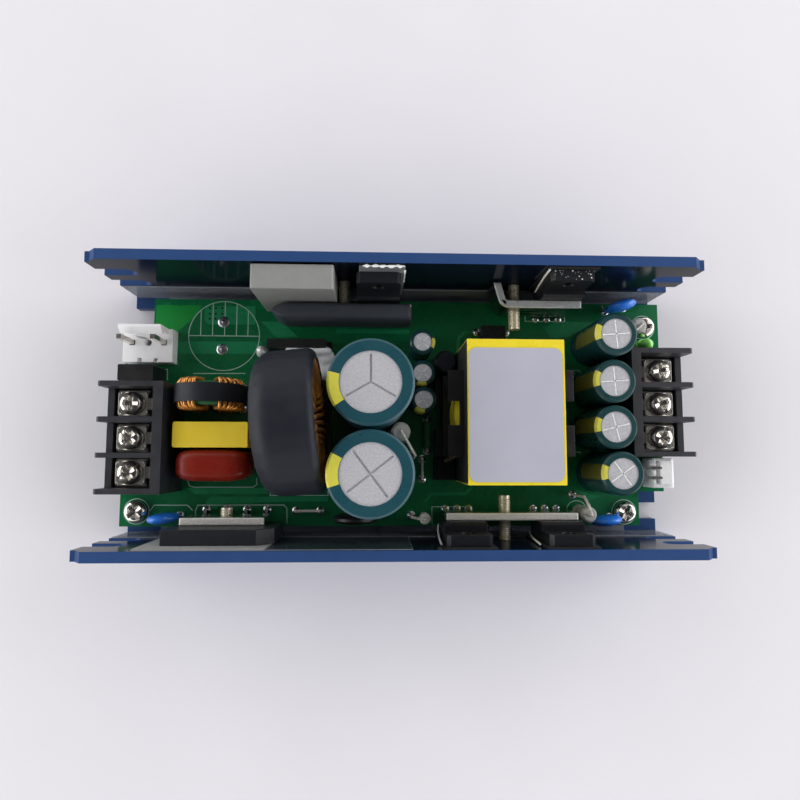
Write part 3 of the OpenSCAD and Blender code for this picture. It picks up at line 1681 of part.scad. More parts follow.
// Cones of solder round the leads, on the underside of the board
module solder_joints() {
  color("#b9bcc0") {
    at_each(lead_holes, board_z)
      solder_cone(lead_hole_d, solder_d);
    at_each(dc_pins, board_z)
      solder_cone(pin_hole_d, solder_d + pin_hole_d - lead_hole_d);
  }
}

// A ring of solder under the board, thin at its lower edge
module solder_cone(inner, outer) {
  lip = 0.1;
  rotate_extrude($fn = 24)
    polygon([[inner / 2, 0], [outer / 2, 0], [inner / 2 + lip, -solder_h], [inner / 2, -solder_h]]);
}

bracket();
insulation_film();
circuit_board();
board_standoffs();
board_screws();
input_terminal();
output_terminal();
terminal_contacts();
terminal_screws();
dc_connector();
fan_connector();
connector_pins();
fuse();
filter_choke_core();
filter_choke_windings();
filter_choke_band();
x_capacitor();
film_capacitor();
boost_choke_core();
boost_choke_winding();
boost_choke_sleeve();
boost_choke_base();
bulk_capacitor_cans();
bulk_capacitor_sleeves();
aux_capacitor_cans();
aux_capacitor_sleeves();
output_capacitor_cans();
output_capacitor_sleeves();
transformer_core();
transformer_bobbin();
transformer_winding();
transformer_tape();
transformer_label();
bridge_rectifier();
boost_switch();
silicone_cap();
boost_diode();
inverter_switches();
output_rectifier();
device_leads();
rectifier_pad();
thermal_pads();
ceramic_pad();
rectifier_clamp();
inverter_clamp();
boost_clamp();
boost_clamp_sleeve();
output_clamp();
clamp_screws();
safety_capacitors();
inrush_resistor();
power_resistors();
aux_inductor();
axial_inductor();
bent_leads();
optocoupler();
control_ic();
indicator_lamp();
component_leads();
solder_joints();
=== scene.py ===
"""Open-frame power supply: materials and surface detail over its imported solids, in metres."""

import json
import math
import random

import bmesh
import bpy
from mathutils import Matrix, Vector, noise


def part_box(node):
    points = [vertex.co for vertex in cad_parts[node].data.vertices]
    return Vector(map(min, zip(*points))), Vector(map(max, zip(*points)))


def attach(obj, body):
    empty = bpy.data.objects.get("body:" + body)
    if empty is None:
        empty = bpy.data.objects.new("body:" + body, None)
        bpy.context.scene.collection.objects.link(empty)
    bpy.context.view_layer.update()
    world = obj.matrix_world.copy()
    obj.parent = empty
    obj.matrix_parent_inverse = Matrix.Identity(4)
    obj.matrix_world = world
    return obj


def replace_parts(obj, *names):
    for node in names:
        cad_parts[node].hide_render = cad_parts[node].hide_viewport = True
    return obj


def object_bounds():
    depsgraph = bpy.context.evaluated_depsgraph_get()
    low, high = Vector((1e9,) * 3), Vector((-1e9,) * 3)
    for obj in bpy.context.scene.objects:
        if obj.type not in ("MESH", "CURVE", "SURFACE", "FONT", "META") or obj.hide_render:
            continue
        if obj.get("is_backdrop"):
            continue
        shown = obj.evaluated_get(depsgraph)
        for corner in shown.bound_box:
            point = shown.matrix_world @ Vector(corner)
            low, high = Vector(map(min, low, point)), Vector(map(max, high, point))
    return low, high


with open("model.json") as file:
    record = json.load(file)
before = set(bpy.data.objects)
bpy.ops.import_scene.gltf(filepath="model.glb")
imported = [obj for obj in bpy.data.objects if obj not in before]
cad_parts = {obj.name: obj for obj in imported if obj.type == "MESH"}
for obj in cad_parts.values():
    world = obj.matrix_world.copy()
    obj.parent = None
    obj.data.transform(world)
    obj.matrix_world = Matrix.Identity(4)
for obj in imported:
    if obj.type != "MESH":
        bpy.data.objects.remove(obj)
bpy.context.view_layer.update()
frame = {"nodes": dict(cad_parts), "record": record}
nodes = frame["nodes"]
scene = bpy.context.scene
scene.view_settings.view_transform = "Standard"

# Sizes below are in millimetres, and become metres as they go into a mesh or a shader.
MM = 0.001

# The walls' inner faces lie this far off the middle plane, and the folded film ends just below this height.
WALL_FACE = 31.6
FILM_TOP = 12.4


# Colours are given as they show on a screen, and shaders take them as light.
def linear(red, green, blue):
    def channel(value):
        value /= 255
        return value / 12.92 if value <= 0.04045 else ((value + 0.055) / 1.055) ** 2.4
    return channel(red), channel(green), channel(blue), 1.0


def scaled(color, factor):
    return tuple(min(1.0, c * factor) for c in color[:3]) + (1.0,)


def add_node(tree, kind, inputs):
    node = tree.nodes.new(kind)
    for key, value in inputs.items():
        node.inputs[key].default_value = value
    return node


def split_vector(tree, socket):
    parts = tree.nodes.new("ShaderNodeSeparateXYZ")
    tree.links.new(socket, parts.inputs["Vector"])
    return parts.outputs


def noise_over(tree, place, size, detail):
    node = add_node(tree, "ShaderNodeTexNoise", {"Scale": 1 / (size * MM), "Detail": detail})
    tree.links.new(place.outputs["Object"], node.inputs["Vector"])
    return node.outputs["Fac"]


# The two ends and the result of a mix node are numbered, for plain values and for colours.
VALUE_SOCKETS = (2, 3, 0)
COLOR_SOCKETS = (6, 7, 2)


def mixed(tree, factor, start, end, color=False):
    node = tree.nodes.new("ShaderNodeMix")
    node.data_type = "RGBA" if color else "FLOAT"
    first, last, result = COLOR_SOCKETS if color else VALUE_SOCKETS
    tree.links.new(factor, node.inputs[0])
    for socket, value in ((first, start), (last, end)):
        if isinstance(value, bpy.types.NodeSocket):
            tree.links.new(value, node.inputs[socket])
        else:
            node.inputs[socket].default_value = value
    return node.outputs[result]


# Where faces of a kind begin and are fully reached, in shares of their limit or as an upward slope.
INWARD_SHARES = (-0.85, -0.97)
RAISED_SHARES = (1.0, 1.01)
UPRIGHT_SLOPES = (0.6, 0.3)


# How far a surface belongs to faces of a kind: those that look inward from that far off the part's middle
# plane, where normal times place is negative, those raised above a height, or upright ones, with no limit.
def face_share(tree, place, kind, limit):
    normal = split_vector(tree, place.outputs["Normal"])
    spot = split_vector(tree, place.outputs["Object"])
    measure = tree.nodes.new("ShaderNodeMath")
    measure.operation = "MULTIPLY" if kind == "inward" else "ABSOLUTE"
    if kind == "inward":
        tree.links.new(normal["Y"], measure.inputs[0])
        tree.links.new(spot["Y"], measure.inputs[1])
        first, last = (share * limit * MM for share in INWARD_SHARES)
    elif kind == "raised":
        tree.links.new(spot["Z"], measure.inputs[0])
        first, last = (share * limit * MM for share in RAISED_SHARES)
    else:
        tree.links.new(normal["Z"], measure.inputs[0])
        first, last = UPRIGHT_SLOPES
    share = add_node(tree, "ShaderNodeMapRange", {"From Min": first, "From Max": last})
    tree.links.new(measure.outputs[0], share.inputs["Value"])
    return share.outputs["Result"]


COAT_ROUGH = 0.12
MOTTLE_REACH = 1.6
MOTTLE_DETAIL = 5.0
GLOSS_SPREAD = 0.08
GLOSS_LEAST = 0.02
NOISE_SPAN = (0.3, 0.7)
GRAIN_DETAIL = 3.0
GRAIN_DEPTH = 0.3


# A surface with mottled colour and gloss and a fine grain. Light sinks in by the depth, if there is one, and
# faces of one kind can differ from the rest in colour, roughness and metal.
def finish(name, color, rough, metal=0.0, mottle=0.1, mottle_size=3.0, grain=0.0, grain_size=0.3, coat=0.0,
           alpha=1.0, specular=0.5, depth=0.0, faces=None):
    material = bpy.data.materials.new(name)
    material.use_nodes = True
    tree = material.node_tree
    shader = tree.nodes["Principled BSDF"]
    settings = {"Metallic": metal, "Coat Weight": coat, "Coat Roughness": COAT_ROUGH, "Alpha": alpha,
                "Specular IOR Level": specular}
    if depth:
        settings["Subsurface Weight"] = 1.0
        settings["Subsurface Radius"] = (1.0, 1.0, 1.0)
        settings["Subsurface Scale"] = depth * MM
    for key, value in settings.items():
        shader.inputs[key].default_value = value
    place = tree.nodes.new("ShaderNodeTexCoord")
    spots = noise_over(tree, place, mottle_size, MOTTLE_DETAIL)
    dark = scaled(linear(*color), 1 - MOTTLE_REACH * mottle)
    pale = scaled(linear(*color), 1 + MOTTLE_REACH * mottle)
    tint = mixed(tree, spots, dark, pale, True)
    spread = add_node(tree, "ShaderNodeMapRange", {
        "From Min": NOISE_SPAN[0], "From Max": NOISE_SPAN[1],
        "To Min": max(GLOSS_LEAST, rough - GLOSS_SPREAD), "To Max": min(1.0, rough + GLOSS_SPREAD)})
    tree.links.new(spots, spread.inputs["Value"])
    gloss = spread.outputs["Result"]
    if faces:
        kind, limit, face_color, face_rough, face_metal = faces
        share = face_share(tree, place, kind, limit)
        tint = mixed(tree, share, tint, linear(*face_color), True)
        gloss = mixed(tree, share, gloss, face_rough)
        tree.links.new(mixed(tree, share, metal, face_metal), shader.inputs["Metallic"])
    tree.links.new(tint, shader.inputs["Base Color"])
    tree.links.new(gloss, shader.inputs["Roughness"])
    if grain:
        relief = add_node(tree, "ShaderNodeBump", {"Strength": grain, "Distance": GRAIN_DEPTH * MM})
        tree.links.new(noise_over(tree, place, grain_size, GRAIN_DETAIL), relief.inputs["Height"])
        tree.links.new(relief.outputs["Normal"], shader.inputs["Normal"])
    return material


# One material for each slot of the record, and more for the drawn detail and for single nodes.
LOOKS = {
    # The walls' inner faces are painted near-black navy: painted shade and painted reflection of the dark
    # inside of the channel, on the same anodised finish.
    "channel": finish("blue_anodised", (44, 71, 117), 0.45, metal=0.1, mottle=0.03, grain=0.04,
                      grain_size=0.2, specular=0.1, faces=("inward", WALL_FACE, (12, 18, 32), 0.12, 0.0)),
    "film": finish("clear_film", (198, 204, 216), 0.06, alpha=0.38, mottle=0.04, specular=0.8,
                   faces=("raised", FILM_TOP, (92, 102, 114), 0.06, 0.0)),
    "board": finish("solder_mask", (16, 108, 64), 0.28, mottle=0.14, mottle_size=9.0, grain=0.04,
                    grain_size=0.5, specular=0.3),
    "steel": finish("plated_steel", (222, 218, 210), 0.16, metal=1.0, mottle=0.08, mottle_size=1.0,
                    grain=0.05),
    "bar_steel": finish("bare_steel", (212, 210, 206), 0.42, metal=0.3, mottle=0.2, mottle_size=0.5,
                        grain=0.4, grain_size=0.4, faces=("upright", None, (198, 200, 198), 0.14, 1.0)),
    "zinc": finish("yellow_zinc", (220, 212, 190), 0.3, metal=0.4, mottle=0.1, mottle_size=0.8, grain=0.1),
    "aluminium": finish("bare_can", (190, 189, 194), 0.42, metal=0.25, mottle=0.2, mottle_size=0.4,
                        grain=0.12, grain_size=0.35),
    "terminal_plastic": finish("charcoal_moulding", (36, 37, 42), 0.45, mottle=0.07, grain=0.1,
                               grain_size=0.35),
    "white_plastic": finish("white_moulding", (250, 250, 252), 0.32, mottle=0.02, grain=0.04),
    "black_plastic": finish("black_moulding", (19, 19, 21), 0.4, mottle=0.1, grain=0.08),
    "case_plastic": finish("epoxy_case", (25, 26, 30), 0.34, mottle=0.12, mottle_size=0.8, grain=0.1,
                           grain_size=0.2, specular=0.2),
    "shrink": finish("shrunk_tube", (28, 31, 38), 0.5, mottle=0.08, mottle_size=5.0, grain=0.06,
                     grain_size=1.4, specular=0.2),
    "sleeve": finish("teal_sleeve", (27, 69, 79), 0.3, mottle=0.05, mottle_size=6.0, grain=0.03,
                     grain_size=1.0),
    "yellow_plastic": finish("yellow_case", (236, 206, 56), 0.35, mottle=0.04, grain=0.05, grain_size=0.4),
    "red_epoxy": finish("red_brown_dip", (128, 34, 22), 0.26, mottle=0.06, mottle_size=4.0, grain=0.03,
                        grain_size=1.6, specular=0.25),
    "blue_epoxy": finish("blue_dip", (46, 132, 246), 0.22, mottle=0.06, grain=0.06, grain_size=0.8, coat=0.2),
    "ferrite": finish("ferrite", (38, 38, 41), 0.55, mottle=0.15, mottle_size=0.7, grain=0.2, grain_size=0.3),
    "green_core": finish("coated_core", (38, 96, 58), 0.35, mottle=0.08, grain=0.08),
    "enamel_wire": finish("enamelled_copper", (206, 142, 72), 0.28, metal=0.6, mottle=0.12, mottle_size=1.5),
    "yellow_tape": finish("polyester_tape", (232, 210, 48), 0.3, mottle=0.04, mottle_size=5.0, grain=0.05,
                          grain_size=1.8),
    "label": finish("bare_label", (174, 174, 187), 0.4, mottle=0.03, mottle_size=8.0, grain=0.05,
                    grain_size=2.0),
    "silicone": finish("grey_silicone", (136, 136, 134), 0.45, mottle=0.06, mottle_size=2.0, grain=0.1,
                       grain_size=0.5),
    "pad": finish("thermal_pad", (150, 152, 150), 0.6, mottle=0.06, grain=0.12, grain_size=0.3),
    "dark_pad": finish("dark_thermal_pad", (34, 35, 38), 0.45, mottle=0.06, grain=0.12, grain_size=0.3),
    "ceramic": finish("ceramic", (128, 130, 132), 0.45, mottle=0.04, grain=0.06),
    "grey_epoxy": finish("grey_coating", (192, 192, 190), 0.45, mottle=0.08, mottle_size=0.8, grain=0.15,
                         grain_size=0.4),
    # The lens is a pale, bright green: painted light on a lens that sits in shade between the terminal and
    # the capacitors.
    "lamp": finish("green_lens_painted_light", (150, 246, 110), 0.1, mottle=0.03, coat=0.5),
    "solder": finish("solder", (200, 202, 206), 0.24, metal=1.0, mottle=0.12, mottle_size=0.7, grain=0.15,
                     grain_size=0.4),
}
DETAIL = {
    "pour": finish("masked_copper", (34, 138, 90), 0.28, mottle=0.1, mottle_size=7.0, grain=0.04,
                   grain_size=0.5, specular=0.3),
    "silkscreen": finish("silkscreen", (176, 205, 192), 0.6, mottle=0.1, mottle_size=0.4),
    "stripe": finish("sleeve_print", (200, 194, 70), 0.4, mottle=0.06, mottle_size=1.0),
    "mark": finish("sleeve_mark", (34, 46, 40), 0.45, mottle=0.06),
    "hole": finish("drilled_hole", (10, 12, 11), 0.7, mottle=0.1),
    "sealant": finish("white_sealant", (226, 226, 228), 0.4, mottle=0.03, grain=0.06, grain_size=1.2),
    # Brighter green laminate: painted light where light comes in at the channel's open end.
    "painted_light_board": finish("painted_light_laminate", (30, 146, 62), 0.3, mottle=0.14, mottle_size=9.0, grain=0.04,
                         grain_size=0.5, specular=0.3),
    "film_edge": finish("film_edge", (150, 158, 164), 0.3, mottle=0.05),
    # Near-white metal; on the cans' score lines it is a painted highlight.
    "score": finish("pressed_score", (252, 252, 254), 0.3, metal=0.2, mottle=0.06, mottle_size=0.6),
    # A near-black ring around each terminal screw head: painted shadow.
    "shadow_ring": finish("washer_shadow_ring", (22, 22, 23), 0.3, metal=0.3, mottle=0.1),
    "sleeving": finish("lead_sleeving", (112, 100, 84), 0.5, mottle=0.1, mottle_size=1.0),
    "paste": finish("thermal_paste", (236, 236, 234), 0.6, mottle=0.04, grain=0.25, grain_size=0.5),
    "green_sleeve": finish("green_sleeve", (21, 58, 60), 0.3, mottle=0.05, mottle_size=6.0, grain=0.03,
                           grain_size=1.0, specular=0.35),
    # A darker copy of the sleeve print: painted shade.
    "shaded_print": finish("shaded_print", (96, 96, 40), 0.4, mottle=0.06, mottle_size=1.0),
    "bent_steel": finish("bent_steel", (176, 178, 180), 0.4, metal=0.4, mottle=0.25, mottle_size=0.5,
                         grain=0.4, grain_size=0.4, faces=("upright", None, (150, 152, 152), 0.14, 1.0)),
    "tinned_wire": finish("tinned_wire", (226, 222, 212), 0.3, metal=0.2, mottle=0.1, mottle_size=0.8),
    "rectifier_case": finish("rectifier_case", (38, 40, 44), 0.34, mottle=0.12, mottle_size=0.8, grain=0.1,
                             grain_size=0.2, specular=0.2),
    "nylon": finish("nylon", (254, 254, 252), 0.4, mottle=0.02, grain=0.04, depth=4.0),
    # A lighter copy of the can aluminium: painted light on the small cans' tops, which sit in the shade of
    # the bulk capacitors.
    "can_painted_light": finish("can_painted_light", (210, 210, 215), 0.42, metal=0.2, mottle=0.2, mottle_size=0.4,
                         grain=0.12, grain_size=0.35),
    "clamp_shrink": finish("clamp_shrink", (54, 58, 64), 0.5, mottle=0.08, mottle_size=5.0, grain=0.06,
                           grain_size=1.4, specular=0.2),
    # A darker copy of the copper: painted shade on the boost choke's turns, which lie in shade beside the
    # bulk capacitors.
    "copper_painted_shade": finish("copper_painted_shade", (142, 94, 50), 0.35, metal=0.5, mottle=0.15, mottle_size=1.5),
}

# These nodes look a little different from others of their slot.
OTHER_LOOKS = {
    "output_capacitor_sleeves": "green_sleeve",
    "aux_capacitor_sleeves": "green_sleeve",
    # The small cans take the lighter aluminium as painted light.
    "aux_capacitor_cans": "can_painted_light",
    # The boost choke's turns take the darker copper as painted shade.
    "boost_choke_winding": "copper_painted_shade",
    "output_clamp": "bent_steel",
    "bent_leads": "tinned_wire",
    "bridge_rectifier": "rectifier_case",
    "fan_connector": "nylon",
}
for part in frame["record"]["subparts"]:
    other = OTHER_LOOKS.get(part["node"])
    node = nodes[part["node"]]
    node.data.materials.clear()
    node.data.materials.append(DETAIL[other] if other else LOOKS[part["material_slot"]])

# Moulded and cut edges are broken a little, by a width in so many steps, so that they catch the light.
WELD = 0.002
EDGE_ANGLE = 50
SOFT_EDGES = [
    (("input_terminal", "output_terminal", "bracket", "dc_connector", "fuse", "bridge_rectifier"), 0.15, 2),
    (("x_capacitor", "transformer_core"), 0.25, 2),
    (("rectifier_clamp", "inverter_clamp", "output_clamp"), 0.45, 3),
    (("boost_diode", "inverter_switches", "output_rectifier", "fan_connector", "transformer_bobbin"),
     0.12, 2),
    (("silicone_cap",), 0.5, 3),
    (("transformer_tape",), 0.14, 2),
]
for names, width, segments in SOFT_EDGES:
    for name in names:
        weld = nodes[name].modifiers.new("weld", "WELD")
        weld.merge_threshold = WELD * MM
        edge = nodes[name].modifiers.new("edge", "BEVEL")
        edge.width = width * MM
        edge.segments = segments
        edge.limit_method = "ANGLE"
        edge.angle_limit = math.radians(EDGE_ANGLE)
        edge.harden_normals = True

MITRE_LIMIT = 0.4
AXIS_R = 0.02

# Edges that turn by more than such an angle stay crisp: on plain shapes, soft ones, screws and threads.
SHARP = 40
SOFT = 60
SCREW_SHARP = 35
THREAD_SHARP = 30


# Collects closed shapes, in millimetres, into one piece.
class Shapes:
    def __init__(self):
        self.points = []
        self.faces = []

    # Rings of points with the same count, joined in order, capped or closed into a loop.
    def loft(self, rings, loop=False):
        start = len(self.points)
        count = len(rings[0])
        for ring in rings:
            self.points.extend(ring)
        steps = len(rings) if loop else len(rings) - 1
        for i in range(steps):
            low = start + i * count
            high = start + (i + 1) % len(rings) * count
            for j in range(count):
                k = (j + 1) % count
                self.faces.append((low + j, low + k, high + k, high + j))
        if not loop:
            last = start + (len(rings) - 1) * count
            self.faces.append(tuple(start + j for j in reversed(range(count))))
            self.faces.append(tuple(last + j for j in range(count)))

    def prism(self, outline, low, high):
        self.loft([[(x, y, z) for x, y in outline] for z in (low, high)])

    # A profile of radius and height turned about an upright axis, all round or through an arc.
    def turned(self, center, profile, sides, arc=(0, 360)):
        span = arc[1] - arc[0]
        whole = span >= 360
        steps = sides if whole else max(2, int(sides * span / 360))
        rings = []
        for i in range(steps if whole else steps + 1):
            angle = math.radians(arc[0] + span * i / steps)
            x, y = math.cos(angle), math.sin(angle)
            rings.append([(center[0] + r * x, center[1] + r * y, z) for r, z in profile])
        self.loft(rings, loop=whole)

    # A round wire through a list of points.
    def tube(self, path, radius, sides):
        path = [Vector(p) for p in path]
        across = None
        rings = []
        for i, point in enumerate(path):
            ahead = (path[min(i + 1, len(path) - 1)] - path[max(i - 1, 0)]).normalized()
            if across is None:
                across = ahead.orthogonal().normalized()
            across = (across - ahead * across.dot(ahead)).normalized()
            up = ahead.cross(across)
            ring = []
            for j in range(sides):
                angle = 2 * math.pi * j / sides
                ring.append(point + radius * (math.cos(angle) * across + math.sin(angle) * up))
            rings.append([tuple(p) for p in ring])
        self.loft(rings)

    # A round wire along a closed flat path, with the normal of its plane.
    def loop(self, path, normal, radius, sides=8):
        path = [Vector(p) for p in path]
        normal = Vector(normal)
        rings = []
        for i, point in enumerate(path):
            ahead = (path[(i + 1) % len(path)] - path[i - 1]).normalized()
            out = ahead.cross(normal)
            rings.append([tuple(point + radius * (math.cos(a) * out + math.sin(a) * normal))
                          for a in (2 * math.pi * j / sides for j in range(sides))])
        self.loft(rings, loop=True)

    # A flat line of even width, mitred at its corners.
    def ribbon(self, path, width, low, high):
        path = [Vector(p) for p in path]
        left, right = [], []
        for i, point in enumerate(path):
            before = (point - path[i - 1]).normalized() if i else (path[1] - point).normalized()
            after = (path[i + 1] - point).normalized() if i + 1 < len(path) else before
            normal = Vector((-(before + after).y, (before + after).x)).normalized()
            reach = width / 2 / max(MITRE_LIMIT, normal.dot(Vector((-before.y, before.x))))
            left.append(tuple(point + normal * reach))
            right.append(tuple(point - normal * reach))
        for i in range(len(path) - 1):
            self.prism([right[i], right[i + 1], left[i + 1], left[i]], low, high)

    def piece(self, name, material, sharp=SHARP):
        mesh = bpy.data.meshes.new(name)
        mesh.from_pydata([(x * MM, y * MM, z * MM) for x, y, z in self.points], [], self.faces)
        fixed = bmesh.new()
        fixed.from_mesh(mesh)
        bmesh.ops.recalc_face_normals(fixed, faces=fixed.faces)
        fixed.to_mesh(mesh)
        fixed.free()
        mesh.shade_smooth()
        mesh.set_sharp_from_angle(angle=math.radians(sharp))
        mesh.materials.append(material)
        made = bpy.data.objects.new(name, mesh)
        scene.collection.objects.link(made)
        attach(made, "root")
        return made


# The low and the high corner of a node, in millimetres.
def box_mm(node_name):
    return [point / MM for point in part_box(node_name)]


# The boxes of a node's separate solids, in millimetres.
def islands(node_name):
    merged = bmesh.new()
    merged.from_mesh(nodes[node_name].data)
    bmesh.ops.remove_doubles(merged, verts=merged.verts, dist=WELD * MM)
    merged.verts.ensure_lookup_table()
    seen = set()
    boxes = []
    for vert in merged.verts:
        if vert.index in seen:
            continue
        seen.add(vert.index)
        group = [vert]
        for member in group:
            for edge in member.link_edges:
                other = edge.other_vert(member)
                if other.index not in seen:
                    seen.add(other.index)
                    group.append(other)
        spots = [v.co / MM for v in group]
        low = Vector([min(p[k] for p in spots) for k in range(3)])
        high = Vector([max(p[k] for p in spots) for k in range(3)])
        boxes.append((low, high))
    merged.free()
    return boxes


def middle(box):
    return (box[0] + box[1]) / 2


# A point of a square with round corners and a half side of 1, at an angle; a lower power is squarer.
def rounded_square(angle, power):
    x = math.cos(angle)
    y = math.sin(angle)
    return math.copysign(abs(x) ** power, x), math.copysign(abs(y) ** power, y)


# Print and copper lie on the top of the board, in layers this high.
TOP = box_mm("circuit_board")[1].z
MASK = 0.02
INK = 0.035

# Copper under the solder mask shows as paler areas.
POURS = [
    [(-50.1, 27.4), (-50.2, 23.7), (-49.1, 22.6), (-37.0, 22.7), (-37.1, 27.6)],
    [(-56.8, 18.0), (-56.7, 14.8), (-35.3, 15.0), (-35.3, 18.2)],
    [(-35.5, 23.5), (-34.7, 22.7), (-31.6, 19.4), (-25.9, 19.5), (-30.1, 23.5)],
    [(-53.3, -19.6), (-51.1, -21.1), (-33.0, -21.1), (-33.0, -19.6)],
    [(-48.8, -25.0), (-48.3, -22.9), (-47.2, -21.8), (-17.6, -21.8), (-17.5, -23.0), (-27.0, -23.0),
     (-45.1, -23.6), (-45.8, -25.0)],
    [(7.7, -23.3), (6.8, -23.3), (8.6, -20.8), (17.4, -20.8), (19.2, -19.0), (19.7, -19.7), (17.7, -21.5),
     (9.0, -21.5)],
    [(39.0, 22.4), (41.0, 19.8), (45.7, 20.3), (50.8, 23.0), (52.3, 24.2), (41.6, 24.3)],
    [(46.4, -20.1), (49.3, -23.0), (53.1, -21.8), (49.4, -20.8)],
    [(-16.0, 20.6), (3.2, 20.6), (3.2, 21.7), (-16.0, 21.7)],
    [(15.4, 15.8), (16.2, 15.8), (16.6, 19.2), (18.1, 20.9), (20.3, 20.9), (20.3, 21.5), (17.3, 21.5),
     (15.8, 19.6)],
]
pours = Shapes()
for outline in POURS:
    pours.prism(outline, TOP, TOP + MASK)
pours.piece("board_copper", DETAIL["pour"])

# One corner of the board is painted brighter green: a painted pool of the light that comes in at the open end
# of the channel.
PAINTED_LIGHT_CORNER = [(-62.6, 27.6), (-62.6, 20.9), (-57.0, 20.6), (-53.2, 24.0), (-50.8, 27.6)]
bare = Shapes()
bare.prism(PAINTED_LIGHT_CORNER, TOP, TOP + MASK / 2)
bare.piece("painted_light_corner", DETAIL["painted_light_board"])

# White outlines of the parts, and a spare place for a capacitor, half of it hatched.
SPARE = (-45.0, 19.6)
SPARE_R = 9.1
SPARE_BARS = (-6.05, -3.0, 0.1, 3.15, 6.1)
LINES = [
    [(-53.4, -17.4), (-52.6, -19.1), (-51.5, -19.4), (-36.7, -19.4), (-35.7, -18.7), (-35.8, -17.0)],
    [(-32.3, -20.6), (-32.3, -21.5), (-17.6, -21.5), (-17.6, -18.1)],
    [(-52.6, 9.7), (-39.3, 9.8)],
    [(-59.7, 10.7), (-59.2, 10.7), (-59.1, 7.9)],
    [(19.5, -24.4), (9.0, -24.4), (9.0, -28.6)],
    [(34.0, 25.6), (34.0, 24.3), (44.6, 24.3), (44.6, 25.6)],
    [(54.7, 28.9), (55.2, 27.7), (55.8, 26.2)],
    [(44.8, 11.2), (48.2, 11.2), (48.1, 10.5)],
    [(44.8, -10.3), (48.0, -10.3), (48.0, -10.8)],
    [(-50.9, -28.0), (-51.0, -25.4), (-50.4, -23.9), (-28.8, -23.9), (-28.0, -24.7), (-27.9, -28.6)],
    [(-62.6, -25.8), (-61.3, -23.9), (-53.0, -23.9), (-51.7, -25.2)],
    [(SPARE[0] - SPARE_R, SPARE[1]), (SPARE[0] + SPARE_R, SPARE[1])],
]
for offset in SPARE_BARS:
    reach = math.sqrt(SPARE_R ** 2 - offset ** 2)
    LINES.append([(SPARE[0] + offset, SPARE[1]), (SPARE[0] + offset, SPARE[1] + reach)])
INK_W = 0.22
CIRCLE_SIDES = 72
SCREW_CIRCLE_R = 3.15
RESISTOR_CIRCLE_R = 2.7
SMALL_BODY = 3.2
ink = Shapes()
for path in LINES:
    ink.ribbon(path, INK_W, TOP + MASK, TOP + INK)


def ink_circle(center, radius):
    inner = radius - INK_W / 2
    outer = radius + INK_W / 2
    profile = [(inner, TOP + MASK), (outer, TOP + MASK), (outer, TOP + INK), (inner, TOP + INK)]
    ink.turned(center, profile, CIRCLE_SIDES)


ink_circle(SPARE, SPARE_R)
for box in islands("board_screws"):
    ink_circle(middle(box), SCREW_CIRCLE_R)
for box in islands("power_resistors"):
    if box[1].x - box[0].x > SMALL_BODY:
        ink_circle(middle(box), RESISTOR_CIRCLE_R)
ink.piece("silkscreen", DETAIL["silkscreen"])

# Solder on the upper side, where no body covers the lead, and on the two pads of the spare place.
SEATED = ["input_terminal", "output_terminal", "fuse", "x_capacitor", "boost_choke_base",
          "transformer_bobbin", "indicator_lamp", "control_ic", "dc_connector", "fan_connector",
          "bulk_capacitor_sleeves", "output_capacitor_sleeves", "aux_capacitor_sleeves", "aux_inductor"]
covers = [box for name in SEATED for box in islands(name)]


def covered(spot):
    return any(low.x < spot.x < high.x and low.y < spot.y < high.y for low, high in covers)


PAD_PROFILE = [(0.3, TOP - 0.2), (1.05, TOP - 0.01), (1.05, TOP + 0.04), (0.85, TOP + 0.1),
               (0.6, TOP + 0.24), (0.47, TOP + 0.45), (0.3, TOP + 0.5)]
PAD_SIDES = 20
SPARE_PADS = ((-0.2, 3.7), (-0.4, -3.55))
SPARE_PROFILE = [(AXIS_R, TOP), (1.45, TOP), (1.45, TOP + 0.05), (1.25, TOP + 0.16), (0.85, TOP + 0.22),
                 (0.6, TOP + 0.2), (0.35, TOP + 0.3), (AXIS_R, TOP + 0.34)]
SPARE_SIDES = 28
pads = Shapes()
for box in islands("solder_joints"):
    spot = middle(box)
    if not covered(spot):
        pads.turned(spot, PAD_PROFILE, PAD_SIDES)
for offset in SPARE_PADS:
    pads.turned((SPARE[0] + offset[0], SPARE[1] + offset[1]), SPARE_PROFILE, SPARE_SIDES)
pads.piece("solder_pads", LOOKS["solder"])

# Small plated holes at the spare place, in rows with the last one left out.
VIA_X = (-3.85, -2.3, -0.7)
VIA_Y = (7.3, 5.85, 4.5)
VIA_R = 0.3
VIA_SIDES = 12
vias = Shapes()
for x in VIA_X:
    for y in VIA_Y:
        if (x, y) != (VIA_X[-1], VIA_Y[-1]):
            ring = [(SPARE[0] + x + VIA_R * math.cos(a), SPARE[1] + y + VIA_R * math.sin(a))
                    for a in (math.radians(360 / VIA_SIDES * i) for i in range(VIA_SIDES))]
            vias.prism(ring, TOP + MASK, TOP + INK)
vias.piece("vias", DETAIL["hole"])

PRINT_T = 0.02
PRINT_SIDES = 120
PRINT_INNER = 0.71
PRINT_GAP = 0.1
PRINT_FOOT = 3.8
SLEEVE_EDGE = 0.5
MARK_START = 4
MARK_LEN = 1.8
MARK_SHARE = 0.06


